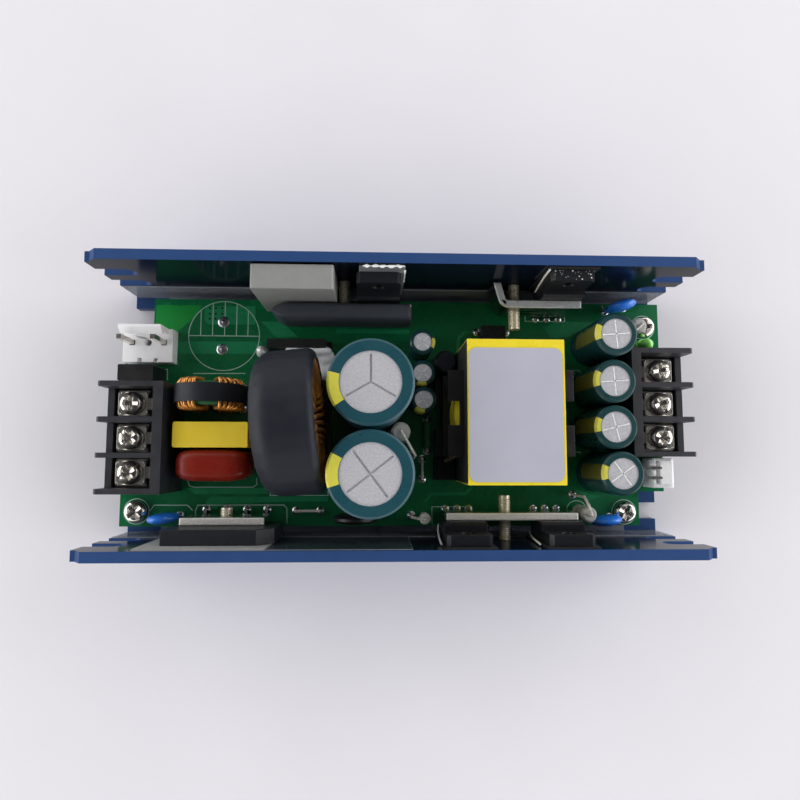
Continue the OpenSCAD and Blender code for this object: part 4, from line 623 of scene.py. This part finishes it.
# The printed stripe of each sleeve, over the rim of its top and down its side, with minus marks.
def stripes(name, arcs, marks, side_look):
    rim = Shapes()
    down = Shapes()
    minus = Shapes()
    for (low, high), (start, end) in zip(sorted(islands(name), key=lambda b: -b[0].y), arcs):
        center = middle((low, high))
        radius = (high.x - low.x) / 2
        inner = PRINT_INNER * radius + PRINT_GAP
        foot = low.z + PRINT_FOOT
        shoulder = high.z - SLEEVE_EDGE
        outside = [(inner, high.z + PRINT_T), (radius - SLEEVE_EDGE, high.z + PRINT_T),
                   (radius + PRINT_T, shoulder)]
        inside = [(radius - PRINT_T, shoulder - PRINT_T), (radius - SLEEVE_EDGE - PRINT_T, high.z - PRINT_T),
                  (inner, high.z - PRINT_T)]
        rim.turned(center, outside + inside, PRINT_SIDES, (start, end))
        side = [outside[-1], (radius + PRINT_T, foot), (radius - PRINT_T, foot), inside[0]]
        down.turned(center, side, PRINT_SIDES, (start, end))
        mid = (start + end) / 2
        half = MARK_SHARE * (end - start)
        for i in range(marks):
            top = high.z - MARK_START - i * (high.z - foot - MARK_START) / marks
            mark = [(radius, top), (radius + 2 * PRINT_T, top), (radius + 2 * PRINT_T, top - MARK_LEN),
                    (radius, top - MARK_LEN)]
            minus.turned(center, mark, PRINT_SIDES, (mid - half, mid + half))
    rim.piece(name + "_stripe", DETAIL["stripe"])
    down.piece(name + "_stripe_side", side_look)
    if marks:
        minus.piece(name + "_marks", DETAIL["mark"])


stripes("bulk_capacitor_sleeves", [(166, 214), (151, 198)], 4, DETAIL["stripe"])
# The output capacitors' stripes run down their sides in the darker print: painted shade where the transformer
# shadows them.
stripes("output_capacitor_sleeves", [(152, 197), (150, 196), (152, 194), (155, 197)], 0,
        DETAIL["shaded_print"])
stripes("aux_capacitor_sleeves", [(-30, 20), (240, 290), (225, 275)], 0, DETAIL["stripe"])

SCORE_W = 0.34
SCORE_SHARE = 0.66
SCORE_SINK = 0.06
SCORE_RISE = 0.02


# Pressed score lines on the tops of the small cans are drawn near white: a painted highlight along the
# scores.
def scores(name, turns):
    lines = Shapes()
    for (low, high), turn in zip(sorted(islands(name), key=lambda b: b[0].y), turns):
        center = middle((low, high)).to_2d()
        reach = SCORE_SHARE * (high.x - low.x) / 2
        for angle in (math.radians(turn), math.radians(turn + 90)):
            arm = reach * Vector((math.cos(angle), math.sin(angle)))
            lines.ribbon([center - arm, center + arm], SCORE_W, high.z - SCORE_SINK, high.z + SCORE_RISE)
    lines.piece(name + "_scores", DETAIL["score"])


scores("aux_capacitor_cans", [27, 54, 45])
scores("output_capacitor_cans", [35, 14, 4, 4])

# The shrunk tube on the boost choke: a soft barrel drawn in over both faces, open over the turns.
CHOKE_R = 16.5
CHOKE_HALF = {-1: 7.2, 1: 6.4}
CHOKE_SHIFT = -0.4
CHOKE_TURN = 5
CHOKE_TURNS = 28
CHOKE_STEPS = 180
SHOULDER = {-1: 4.6, 1: 1.6}
BENDS = 10
WALL = 0.6
LAP = 1.6
LAP_SHARE = 0.4
LAP_SPREAD = 0.5
LAP_NOISE_R = 2.2
LAP_NOISE_Z = {-1: -2.6, 1: 3.4}
RIPPLE = 0.08
DENT = 0.14
DENT_EDGE = 1.5
DENT_NOISE_R = 1.6
DENT_NOISE_Z = 0.3
choke_frame = (Matrix.Translation(middle(box_mm("boost_choke_core")))
               @ Matrix.Rotation(math.radians(CHOKE_TURN), 4, "Z")
               @ Matrix.Rotation(math.radians(90), 4, "Y"))


# The tube's section at an angle, in radius and height: its outside from lip to lip, then its inside back.
def choke_section(angle):
    outside = []
    inside = []
    for side in (-1, 1):
        shoulder = SHOULDER[side]
        start = CHOKE_HALF[side] - shoulder
        spot = Vector((LAP_NOISE_R * math.cos(angle), LAP_NOISE_R * math.sin(angle), LAP_NOISE_Z[side]))
        lip = CHOKE_R - shoulder - LAP * (LAP_SHARE + LAP_SPREAD * noise.noise(spot))
        for line, radius in ((outside, shoulder), (inside, shoulder - WALL)):
            bend = [(lip, side * (start + radius))]
            for k in range(BENDS + 1):
                turn = math.radians(90 * k / BENDS)
                bend.append((CHOKE_R - shoulder + radius * math.sin(turn),
                             side * (start + radius * math.cos(turn))))
            line.extend(bend if side < 0 else bend[::-1])
    return outside + inside[::-1]


barrel = Shapes()
rings = []
for i in range(CHOKE_STEPS):
    angle = 2 * math.pi * i / CHOKE_STEPS
    ring = []
    for r, z in choke_section(angle):
        ripple = RIPPLE * math.cos(CHOKE_TURNS * angle) * (abs(z) / CHOKE_HALF[1]) ** 2
        spot = Vector((DENT_NOISE_R * math.cos(angle), DENT_NOISE_R * math.sin(angle), DENT_NOISE_Z * z))
        dent = DENT * (1 + noise.noise(spot)) if r > CHOKE_R - DENT_EDGE else 0
        wide = r + ripple - dent
        place = Vector((wide * math.cos(angle), wide * math.sin(angle), z + CHOKE_SHIFT))
        ring.append(tuple(choke_frame @ place))
    rings.append(ring)
barrel.loft(rings, loop=True)
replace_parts(barrel.piece("choke_tube", LOOKS["shrink"], SOFT), "boost_choke_sleeve")

# The tube on the boost clamp: soft corners, and its left end pinched shut.
TUBE_HALF = 2.25
TUBE_SAG = 0.12
TUBE_STEPS = 60
TUBE_SIDES = 48
TUBE_POWER = 0.5
TUBE_SWELL = 0.02
TUBE_NOISE = (0.35, 2, 2)
PINCH_LEN = 3.0
PINCH_WIDTH = 0.35
PINCH_HEIGHT = 0.94
END_LEN = 0.5
END_SHARE = 0.86
tube_low, tube_high = box_mm("boost_clamp_sleeve")
tube_mid = middle((tube_low, tube_high))
tube_len = tube_high.x - tube_low.x
tube_y = tube_high.y - TUBE_SAG - TUBE_HALF
tube = Shapes()
rings = []
for i in range(TUBE_STEPS + 1):
    share = i / TUBE_STEPS
    x = tube_low.x + tube_len * share
    pinch = math.sin(math.pi / 2 * min(1.0, share * tube_len / PINCH_LEN))
    grip = PINCH_WIDTH + (1 - PINCH_WIDTH) * pinch
    end = min(1.0, END_SHARE + (1 - END_SHARE) * (1 - share) * tube_len / END_LEN)
    half_y = TUBE_HALF * grip * end
    half_z = (tube_high.z - tube_low.z) / 2 * (PINCH_HEIGHT + (1 - PINCH_HEIGHT) * grip) * end
    ring = []
    for j in range(TUBE_SIDES):
        y, z = rounded_square(2 * math.pi * j / TUBE_SIDES, TUBE_POWER)
        spot = Vector((TUBE_NOISE[0] * x, TUBE_NOISE[1] * y, TUBE_NOISE[2] * z))
        swell = 1 + TUBE_SWELL * noise.noise(spot)
        ring.append((x, tube_y + half_y * y * swell, tube_mid.z + half_z * z * swell))
    rings.append(ring)
tube.loft(rings)
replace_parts(tube.piece("clamp_tube", DETAIL["clamp_shrink"], SOFT), "boost_clamp_sleeve")

# The dipped film capacitor: a block with round edges that swells a little here and there.
DIP_POWER = 0.5
DIP_SWELL = 0.015
DIP_NOISE = (3, 3, 2)
DIP_SIDES = 96
DIP_LEVELS = 40
dip_low, dip_high = box_mm("film_capacitor")
dip_mid = middle((dip_low, dip_high))
dip_half = (dip_high - dip_low) / 2
dip = Shapes()
rings = []
for i in range(1, DIP_LEVELS):
    width, z = rounded_square(math.pi * i / DIP_LEVELS - math.pi / 2, DIP_POWER)
    ring = []
    for j in range(DIP_SIDES):
        x, y = (width * side for side in rounded_square(2 * math.pi * j / DIP_SIDES, DIP_POWER))
        bulge = 1 + DIP_SWELL * noise.noise(Vector((DIP_NOISE[0] * x, DIP_NOISE[1] * y, DIP_NOISE[2] * z)))
        ring.append((dip_mid.x + dip_half.x * x * bulge, dip_mid.y + dip_half.y * y * bulge,
                     dip_mid.z + dip_half.z * z))
    rings.append(ring)
dip.loft(rings)
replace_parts(dip.piece("film_capacitor_dip", LOOKS["red_epoxy"], SOFT), "film_capacitor")

# More turns on the filter choke, in a second layer between the turns of the first.
WIRE_R = 0.45
LOOP_LOW = 2.5
LOOP_HIGH = 7.4
LOOP_HALF = 3.4
LOOP_POWER = 0.45
LOOP_STEPS = 36
TURN_STEP = 19
WIND_TURN = -8
TURNS_A_SIDE = 7
axial = Vector((0, 1, 0))
loop_mid = middle(box_mm("filter_choke_core"))
turns = Shapes()
for side in (0, 180):
    for i in range(TURNS_A_SIDE):
        angle = math.radians(WIND_TURN + side + TURN_STEP * (i - (TURNS_A_SIDE - 1) / 2))
        radial = Vector((math.cos(angle), 0, math.sin(angle)))
        flat = Vector((-math.sin(angle), 0, math.cos(angle)))
        center = loop_mid + radial * (LOOP_LOW + LOOP_HIGH) / 2
        path = []
        for k in range(LOOP_STEPS):
            u, v = rounded_square(2 * math.pi * k / LOOP_STEPS, LOOP_POWER)
            path.append(center + radial * (u * (LOOP_HIGH - LOOP_LOW) / 2) + axial * (v * LOOP_HALF))
        turns.loop(path, flat, WIRE_R)
turns.piece("filter_turns", LOOKS["enamel_wire"], SOFT)

# Dipped discs: a thick middle, a soft rim, and the coating drawn down over the two leads.
DISC_HALF = 1.35
DISC_TURNS = [6, 7, 13]
DISC_LEVELS = 14
DISC_SIDES = 40
DISC_POWER = 0.75
COAT_OFFSET = 2.5
COAT_PROFILE = [(0.03, TOP + 0.5), (0.55, TOP + 0.6), (0.7, TOP + 1.4), (0.9, TOP + 2.6), (0.03, TOP + 2.8)]
COAT_SIDES = 16
discs = Shapes()
for (low, high), slant in zip(sorted(islands("safety_capacitors"), key=lambda b: b[0].x), DISC_TURNS):
    radius = (high.z - low.z) / 2
    disc_frame = Matrix.Translation(middle((low, high))) @ Matrix.Rotation(math.radians(slant), 4, "Z")
    rings = []
    for i in range(1, DISC_LEVELS):
        level = math.pi * i / DISC_LEVELS
        r = radius * math.sin(level) ** DISC_POWER
        y = -DISC_HALF * math.cos(level)
        ring = []
        for j in range(DISC_SIDES):
            a = 2 * math.pi * j / DISC_SIDES
            ring.append(tuple(disc_frame @ Vector((r * math.cos(a), y, r * math.sin(a)))))
        rings.append(ring)
    discs.loft(rings)
    for side in (-1, 1):
        discs.turned(disc_frame @ Vector((COAT_OFFSET * side, 0, 0)), COAT_PROFILE, COAT_SIDES)
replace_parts(discs.piece("disc_dips", LOOKS["blue_epoxy"], SOFT), "safety_capacitors")

# Threads on the screws that hold the clamp bars.
THREAD_R = 1.3
THREAD_WIRE_R = 0.16
THREAD_SIDES = 6
THREAD_STEPS = 16
THREAD_PITCH = 0.5
THREAD_END = 0.15
threads = Shapes()
for low, high in islands("clamp_screws"):
    mid = middle((low, high))
    side = -1 if mid.y < 0 else 1
    tip = min(abs(low.y), abs(high.y)) + THREAD_END
    count = int((WALL_FACE - tip) / THREAD_PITCH)
    path = []
    for i in range(count * THREAD_STEPS + 1):
        angle = 2 * math.pi * i / THREAD_STEPS
        y = side * (WALL_FACE - THREAD_PITCH * i / THREAD_STEPS)
        path.append((mid.x + THREAD_R * math.cos(angle), y, mid.z + THREAD_R * math.sin(angle)))
    threads.tube(path, THREAD_WIRE_R, THREAD_SIDES)
threads.piece("screw_threads", LOOKS["zinc"], THREAD_SHARP)

SCREW_SIDES = 96
SCREW_RINGS = 22
HEAD_R = 2.75
SHANK_R = 1.42
DOME_FALL = 0.16
DOME_EDGE = 0.3
CROSS_SLOPE = 0.22
CROSS_TAPER = 0.55
SLOT_HALF = 0.45
SLOT_SLOPE = 0.15


# A screw in its box: a shank and a domed head. Its tapered cross recess has arms with a reach, a width and a
# depth, turned by some degrees, and its slot, if it has a depth, runs across the whole head.
def driven_screw(made, low, high, head_h, degrees, cross, slot):
    arm, width, depth = cross
    mid = middle((low, high))
    seat = high.z - head_h
    turn = math.radians(degrees)
    rings = []
    for i in range(SCREW_SIDES):
        angle = 2 * math.pi * i / SCREW_SIDES
        line = []
        for k in range(SCREW_RINGS + 1):
            r = AXIS_R + (HEAD_R - AXIS_R) * k / SCREW_RINGS
            u = r * math.cos(angle - turn)
            v = r * math.sin(angle - turn)
            dome = head_h * (1 - DOME_FALL * (r / HEAD_R) ** 2 - DOME_EDGE * (r / HEAD_R) ** 8)
            near = min(max(abs(u) - arm, abs(v) - width / 2), max(abs(v) - arm, abs(u) - width / 2))
            sink = depth * min(1.0, max(0.0, -near / CROSS_SLOPE)) * (1 - CROSS_TAPER * min(1.0, r / arm))
            if slot:
                sink = max(sink, slot * min(1.0, max(0.0, (SLOT_HALF - abs(v)) / SLOT_SLOPE)))
            line.append((r, seat + dome - sink))
        line += [(HEAD_R, seat), (SHANK_R, seat), (SHANK_R, low.z), (AXIS_R, low.z)]
        rings.append([(mid.x + r * math.cos(angle), mid.y + r * math.sin(angle), z) for r, z in line])
    made.loft(rings, loop=True)


# The terminals' screws stand on square washers with a raised rim, and each head has a dark ring around it: a
# painted shadow between washer and head.
POLE_HEAD_H = 2.0
POLE_TURN = 35
POLE_STEP = 52
POLE_CROSS = (1.8, 1.2, 1.3)
POLE_SLOT = 0.5
WASHER_HALF = (3.35, 2.9)
WASHER_CORNER = 0.9
WASHER_BENDS = 4
RIM_R = 0.26
SHADOW_INNER = 2.6
SHADOW_OUTER = 3.25
SHADOW_SINK = 0.05
SHADOW_RISE = 0.02
SHADOW_SIDES = 48
QUARTERS = ((1, 1), (-1, 1), (-1, -1), (1, -1))
shadow_rings = Shapes()
rims = Shapes()
poles = Shapes()
for i, (low, high) in enumerate(sorted(islands("terminal_screws"), key=lambda b: (b[0].x, b[0].y))):
    driven_screw(poles, low, high, POLE_HEAD_H, POLE_TURN + POLE_STEP * i, POLE_CROSS, POLE_SLOT)
    mid = middle((low, high))
    seat = high.z - POLE_HEAD_H
    rim = []
    for quarter, (sx, sy) in enumerate(QUARTERS):
        for k in range(WASHER_BENDS + 1):
            a = math.radians(90 * quarter + 90 / WASHER_BENDS * k)
            rim.append((mid.x + sx * (WASHER_HALF[0] - WASHER_CORNER) + WASHER_CORNER * math.cos(a),
                        mid.y + sy * (WASHER_HALF[1] - WASHER_CORNER) + WASHER_CORNER * math.sin(a), seat))
    rims.loop(rim, (0, 0, 1), RIM_R)
    shadow_ring = [(SHADOW_INNER, seat - SHADOW_SINK), (SHADOW_OUTER, seat - SHADOW_SINK),
              (SHADOW_OUTER, seat + SHADOW_RISE), (SHADOW_INNER, seat + SHADOW_RISE)]
    shadow_rings.turned(mid, shadow_ring, SHADOW_SIDES)
shadow_rings.piece("washer_shadow_rings", DETAIL["shadow_ring"])
rims.piece("washer_rims", LOOKS["steel"], SOFT)
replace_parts(poles.piece("terminal_screw_heads", LOOKS["steel"], SCREW_SHARP), "terminal_screws")

BOARD_HEAD_H = 2.1
BOARD_TURN = 40
BOARD_STEP = 25
BOARD_CROSS = (1.95, 1.1, 1.4)
board_heads = Shapes()
for i, (low, high) in enumerate(sorted(islands("board_screws"), key=lambda b: (b[0].x, b[0].y))):
    driven_screw(board_heads, low, high, BOARD_HEAD_H, BOARD_TURN + BOARD_STEP * i, BOARD_CROSS, 0)
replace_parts(board_heads.piece("board_screw_heads", LOOKS["steel"], SCREW_SHARP), "board_screws")

CALM = 0.6
CALM_STEPS = 8
DROP_DIVISIONS = 3


# A soft lump: overlapping drops, each with its middle and half sizes, melted into one skin.
def melted(name, drops, material, voxel):
    drop_mesh = bmesh.new()
    for center, size in drops:
        place = Matrix.Translation(Vector(center) * MM) @ Matrix.Diagonal(Vector(size) * MM).to_4x4()
        bmesh.ops.create_icosphere(drop_mesh, subdivisions=DROP_DIVISIONS, radius=1.0, matrix=place)
    mesh = bpy.data.meshes.new(name)
    drop_mesh.to_mesh(mesh)
    drop_mesh.free()
    lump = bpy.data.objects.new(name, mesh)
    scene.collection.objects.link(lump)
    skin = lump.modifiers.new("skin", "REMESH")
    skin.mode = "VOXEL"
    skin.voxel_size = voxel * MM
    calm = lump.modifiers.new("calm", "SMOOTH")
    calm.factor = CALM
    calm.iterations = CALM_STEPS
    bpy.context.view_layer.update()
    shown = lump.evaluated_get(bpy.context.evaluated_depsgraph_get())
    final = bpy.data.meshes.new_from_object(shown)
    lump.modifiers.clear()
    lump.data = final
    final.materials.clear()
    final.materials.append(material)
    final.shade_smooth()
    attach(lump, "root")
    return lump


# A value that goes up and down along a row, with its mean, reach and rate, at a step of the row.
def wavy(mean, reach, rate, step):
    return mean + reach * math.sin(rate * step)


# Sealant behind the boost choke, in rows of drops that sway a little: how many, the first one's middle, the
# step to the next, the half sizes, and the reach and rate of the sway.
SEALANT_ROWS = [
    (10, (-29.2, 13.6, TOP + 2.0), (1.3, 0, 0), (1.5, 2.1, 2.1), 0.3, 2.1),
    (10, (-29.2, 10.2, TOP + 1.6), (1.3, 0, 0), (1.4, 2.4, 1.8), 0, 0),
    (9, (-27.5, 15.0, TOP + 4.0), (1.2, 0, 0), (1.2, 1.1, 1.3), 0.15, 1.9),
    (9, (-17.3, 13.0, TOP + 1.2), (0.06, -1.2, -0.04), (1.1, 1.2, 1.5), 0, 0),
]
SEALANT_VOXEL = 0.35
drops = []
for count, first, step, size, sway, rate in SEALANT_ROWS:
    for i in range(count):
        x, y, z = (start + i * move for start, move in zip(first, step))
        drops.append(((x, wavy(y, sway, rate, i), z), size))
melted("choke_sealant", drops, DETAIL["sealant"], SEALANT_VOXEL)

# The ceramic pad stands a little behind the case at its left, and lower than the paste on it.
PLATE_STEP = 1.5
PLATE_DROP = 1.4
pad_low, pad_high = box_mm("ceramic_pad")
plate_left = pad_low.x + PLATE_STEP
plate = Shapes()
plate.prism([(plate_left, pad_low.y), (pad_high.x, pad_low.y), (pad_high.x, pad_high.y),
             (plate_left, pad_high.y)], pad_low.z, pad_high.z - PLATE_DROP)
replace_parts(plate.piece("ceramic_plate", LOOKS["ceramic"]), "ceramic_pad")

# White paste is squeezed out over the top edge of the ceramic pad and down its right edge, in wavy rows.
PASTE_VOXEL = 0.18
EDGE_DROPS = 19
EDGE_START = 9.2
EDGE_STEP = 0.5
EDGE_RISE = 0.05
EDGE_SWAY = (-0.55, 0.2, 3.1)
EDGE_LEN = (0.6, 0.2, 2.7)
EDGE_WIDTH = (0.3, 0.22, 1.7)
EDGE_HEIGHT = 0.26
SIDE_DROPS = 12
SIDE_STEP = 0.7
SIDE_INSET = 0.1
SIDE_SWAY = (-0.1, 0.12, 2.3)
SIDE_LEN = 0.28
SIDE_WIDTH = (0.3, 0.1, 1.3)
SIDE_HEIGHT = 0.45
drops = []
for i in range(EDGE_DROPS):
    x = pad_high.x - EDGE_START + EDGE_STEP * i
    spot = (x, pad_high.y + wavy(*EDGE_SWAY, i), pad_high.z + EDGE_RISE)
    drops.append((spot, (wavy(*EDGE_LEN, i), wavy(*EDGE_WIDTH, i), EDGE_HEIGHT)))
for i in range(SIDE_DROPS):
    spot = (pad_high.x - SIDE_INSET, pad_low.y + wavy(*SIDE_SWAY, i), pad_high.z - SIDE_STEP * i)
    drops.append((spot, (SIDE_LEN, wavy(*SIDE_WIDTH, i), SIDE_HEIGHT)))
melted("diode_paste", drops, DETAIL["paste"], PASTE_VOXEL)

# Specks of paste lie on the top of the output rectifier, most of them near the wall.
SPECKS = 26
SPECK_SEED = 4
SPECK_MARGIN = 0.3
SPECK_SPREAD = 2.4
SPECK_LEAST = 0.07
SPECK_MORE = 0.15
SPECK_SINK = 0.02
SPECK_AXIS_R = 0.01
SPECK_CROWN = 0.7
SPECK_SIDE_H = 0.05
SPECK_H = 0.07
SPECK_SIDES = 10
case_low, case_high = box_mm("output_rectifier")
specks = Shapes()
scatter = random.Random(SPECK_SEED)
for _ in range(SPECKS):
    x = scatter.uniform(case_low.x + SPECK_MARGIN, case_high.x - SPECK_MARGIN)
    y = case_high.y - SPECK_MARGIN - SPECK_SPREAD * scatter.random() ** 2
    size = SPECK_LEAST + SPECK_MORE * scatter.random() ** 3
    top = case_high.z - SPECK_SINK
    profile = [(SPECK_AXIS_R, top), (size, top), (SPECK_CROWN * size, top + SPECK_SIDE_H),
               (SPECK_AXIS_R, top + SPECK_H)]
    specks.turned((x, y), profile, SPECK_SIDES)
specks.piece("case_paste", DETAIL["paste"], SOFT)

# The edges of the pads stand off the walls and show white.
CURLS = [
    [(34.1, 31.0, 30.6), (34.2, 30.8, 26.0), (34.4, 30.4, 21.0), (34.6, 29.9, 17.0)],
    [(9.4, -31.1, 27.0), (9.4, -30.4, 22.0), (9.7, -29.3, 17.0), (10.2, -28.4, 13.5)],
    [(31.6, -31.1, 27.4), (32.0, -31.0, 22.0), (32.5, -30.8, 17.0), (33.1, -30.5, 13.0)],
]
CURL_R = 0.24
CURL_SIDES = 8
edges = Shapes()
for path in CURLS:
    edges.tube(path, CURL_R, CURL_SIDES)
edges.piece("pad_edges", DETAIL["paste"], SOFT)

# The cut edges of the film show as fine lines, along the folded film's flaps and around the wall's sheet.
LINE_R = 0.06
LINE_SIDES = 6
FLAP_INSET = 0.15
film_boxes = sorted(islands("insulation_film"), key=lambda b: b[1].x - b[0].x)
sheet_low, sheet_high = film_boxes[0]
flap_low, flap_high = film_boxes[-1]
sheet_y = (sheet_low.y + sheet_high.y) / 2
film_lines = Shapes()
for side in (-1, 1):
    y = side * (flap_high.y - FLAP_INSET)
    film_lines.tube([(flap_low.x, y, flap_high.z), (flap_high.x, y, flap_high.z)], LINE_R, LINE_SIDES)
film_lines.tube([(sheet_low.x, sheet_y, sheet_high.z), (sheet_high.x, sheet_y, sheet_high.z),
                 (sheet_high.x, sheet_y, sheet_low.z)], LINE_R, LINE_SIDES)
film_lines.piece("film_edges", DETAIL["film_edge"], SOFT)

# Sleeved wires leave the transformer's winding, and a wire end of the boost choke stands in solder.
SLEEVED = [
    [(14.6, 1.6, 15.5), (13.5, 0.8, 15.0), (12.4, -1.4, 13.0), (12.0, -2.6, 10.0)],
    [(15.8, -9.8, 15.2), (14.6, -11.3, 14.6), (12.2, -12.5, 12.4), (10.9, -12.9, 10.0)],
]
SLEEVED_R = 0.6
SLEEVED_SIDES = 12
wires = Shapes()
for path in SLEEVED:
    wires.tube(path, SLEEVED_R, SLEEVED_SIDES)
wires.piece("sleeved_wires", DETAIL["sleeving"], SOFT)
WIRE_END = (-34.9, 15.4)
WIRE_END_PROFILE = [(AXIS_R, TOP), (1.7, TOP), (1.5, TOP + 0.5), (1.25, TOP + 1.8), (1.15, TOP + 2.6),
                    (0.7, TOP + 3.2), (AXIS_R, TOP + 3.4)]
WIRE_END_SIDES = 24
wire_end = Shapes()
wire_end.turned(WIRE_END, WIRE_END_PROFILE, WIRE_END_SIDES)
wire_end.piece("choke_wire_end", DETAIL["score"], SOFT)

# The small upright resistor is painted white over its top and the upper part of its side: a painted highlight
# where light falls on its top.
BAND_T = 0.04
BAND_H = 1.4
BAND_EDGE = 0.3
BAND_SIDES = 24
bands = Shapes()
for low, high in islands("power_resistors"):
    if high.x - low.x <= SMALL_BODY:
        wide = (high.x - low.x) / 2 + BAND_T
        foot = high.z - BAND_H
        profile = [(AXIS_R, foot), (wide, foot), (wide, high.z - BAND_EDGE),
                   (wide - BAND_EDGE, high.z + BAND_T), (AXIS_R, high.z + BAND_T)]
        bands.turned(middle((low, high)), profile, BAND_SIDES)
bands.piece("resistor_painted_highlight", DETAIL["paste"])

# The camera stands where the photograph was taken.
FOCAL_PX = 559.635
FRAME_PX = 800
AXIS_PX = (398, 409.5)
TILT = Vector((-0.0823, 0.0365, -0.0033))
EYE = Vector((-5.041, -11.342, 153.936))
SENSOR = 36
NEAREST = 0.005
FARTHEST = 20
camera_data = bpy.data.cameras.new("camera")
camera_data.sensor_width = SENSOR
camera_data.lens = SENSOR * FOCAL_PX / FRAME_PX
camera_data.shift_x = (FRAME_PX / 2 - AXIS_PX[0]) / FRAME_PX
camera_data.shift_y = (AXIS_PX[1] - FRAME_PX / 2) / FRAME_PX
camera_data.clip_start = NEAREST
camera_data.clip_end = FARTHEST
camera = bpy.data.objects.new("camera", camera_data)
scene.collection.objects.link(camera)
tilt = Matrix.Rotation(TILT.length, 4, TILT.normalized())
camera.matrix_world = Matrix.Translation(EYE * MM) @ tilt.transposed()
scene.camera = camera

# A pale table, with half its side in metres.
FAR = 3.0
table = bpy.data.meshes.new("table")
table.from_pydata([(-FAR, -FAR, 0), (FAR, -FAR, 0), (FAR, FAR, 0), (-FAR, FAR, 0)], [], [(0, 1, 2, 3)])
table.materials.append(finish("pale_table", (228, 225, 230), 0.6, mottle=0.02, mottle_size=40.0))
floor = bpy.data.objects.new("table", table)
scene.collection.objects.link(floor)
floor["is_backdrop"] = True

# The room is bright at its sides and dark overhead, where the camera was held.
SKY_LEVELS = [(0.0, 1.0), (0.25, 1.4), (0.5, 1.5), (0.65, 0.7), (0.78, 0.2), (1.0, 0.06)]
SKY_BLUE = 1.01
world = bpy.data.worlds.new("room")
scene.world = world
world.use_nodes = True
sky_tree = world.node_tree
sky = sky_tree.nodes["Background"]
toward = sky_tree.nodes.new("ShaderNodeTexCoord")
sight = split_vector(sky_tree, toward.outputs["Generated"])
levels = sky_tree.nodes.new("ShaderNodeValToRGB")
while len(levels.color_ramp.elements) < len(SKY_LEVELS):
    levels.color_ramp.elements.new(0.5)
for stop, (height, level) in zip(levels.color_ramp.elements, SKY_LEVELS):
    stop.position = height
    stop.color = (level, level, SKY_BLUE * level, 1.0)
sky_tree.links.new(sight["Z"], levels.inputs["Fac"])
sky_tree.links.new(levels.outputs["Color"], sky.inputs["Color"])

# More of the light comes from beyond the two ends of the channel.
SIDE_LIGHT = 0.6
END_LIGHT = 3.2
squared = sky_tree.nodes.new("ShaderNodeMath")
squared.operation = "MULTIPLY"
for socket in (0, 1):
    sky_tree.links.new(sight["X"], squared.inputs[socket])
strength = add_node(sky_tree, "ShaderNodeMapRange", {"To Min": SIDE_LIGHT, "To Max": END_LIGHT})
sky_tree.links.new(squared.outputs[0], strength.inputs["Value"])
sky_tree.links.new(strength.outputs["Result"], sky.inputs["Strength"])

# A window gives soft light from one side, with its place and size in metres.
WINDOW_AT = Vector((0.6, 0.7, 0.75))
WINDOW_SIZE = 1.2
WINDOW_POWER = 1.4
window_data = bpy.data.lights.new("window", "AREA")
window_data.shape = "DISK"
window_data.size = WINDOW_SIZE
window_data.energy = WINDOW_POWER
window = bpy.data.objects.new("window", window_data)
scene.collection.objects.link(window)
window.location = WINDOW_AT
window.rotation_mode = "QUATERNION"
window.rotation_quaternion = (-WINDOW_AT).to_track_quat("-Z", "Y")

low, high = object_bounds()
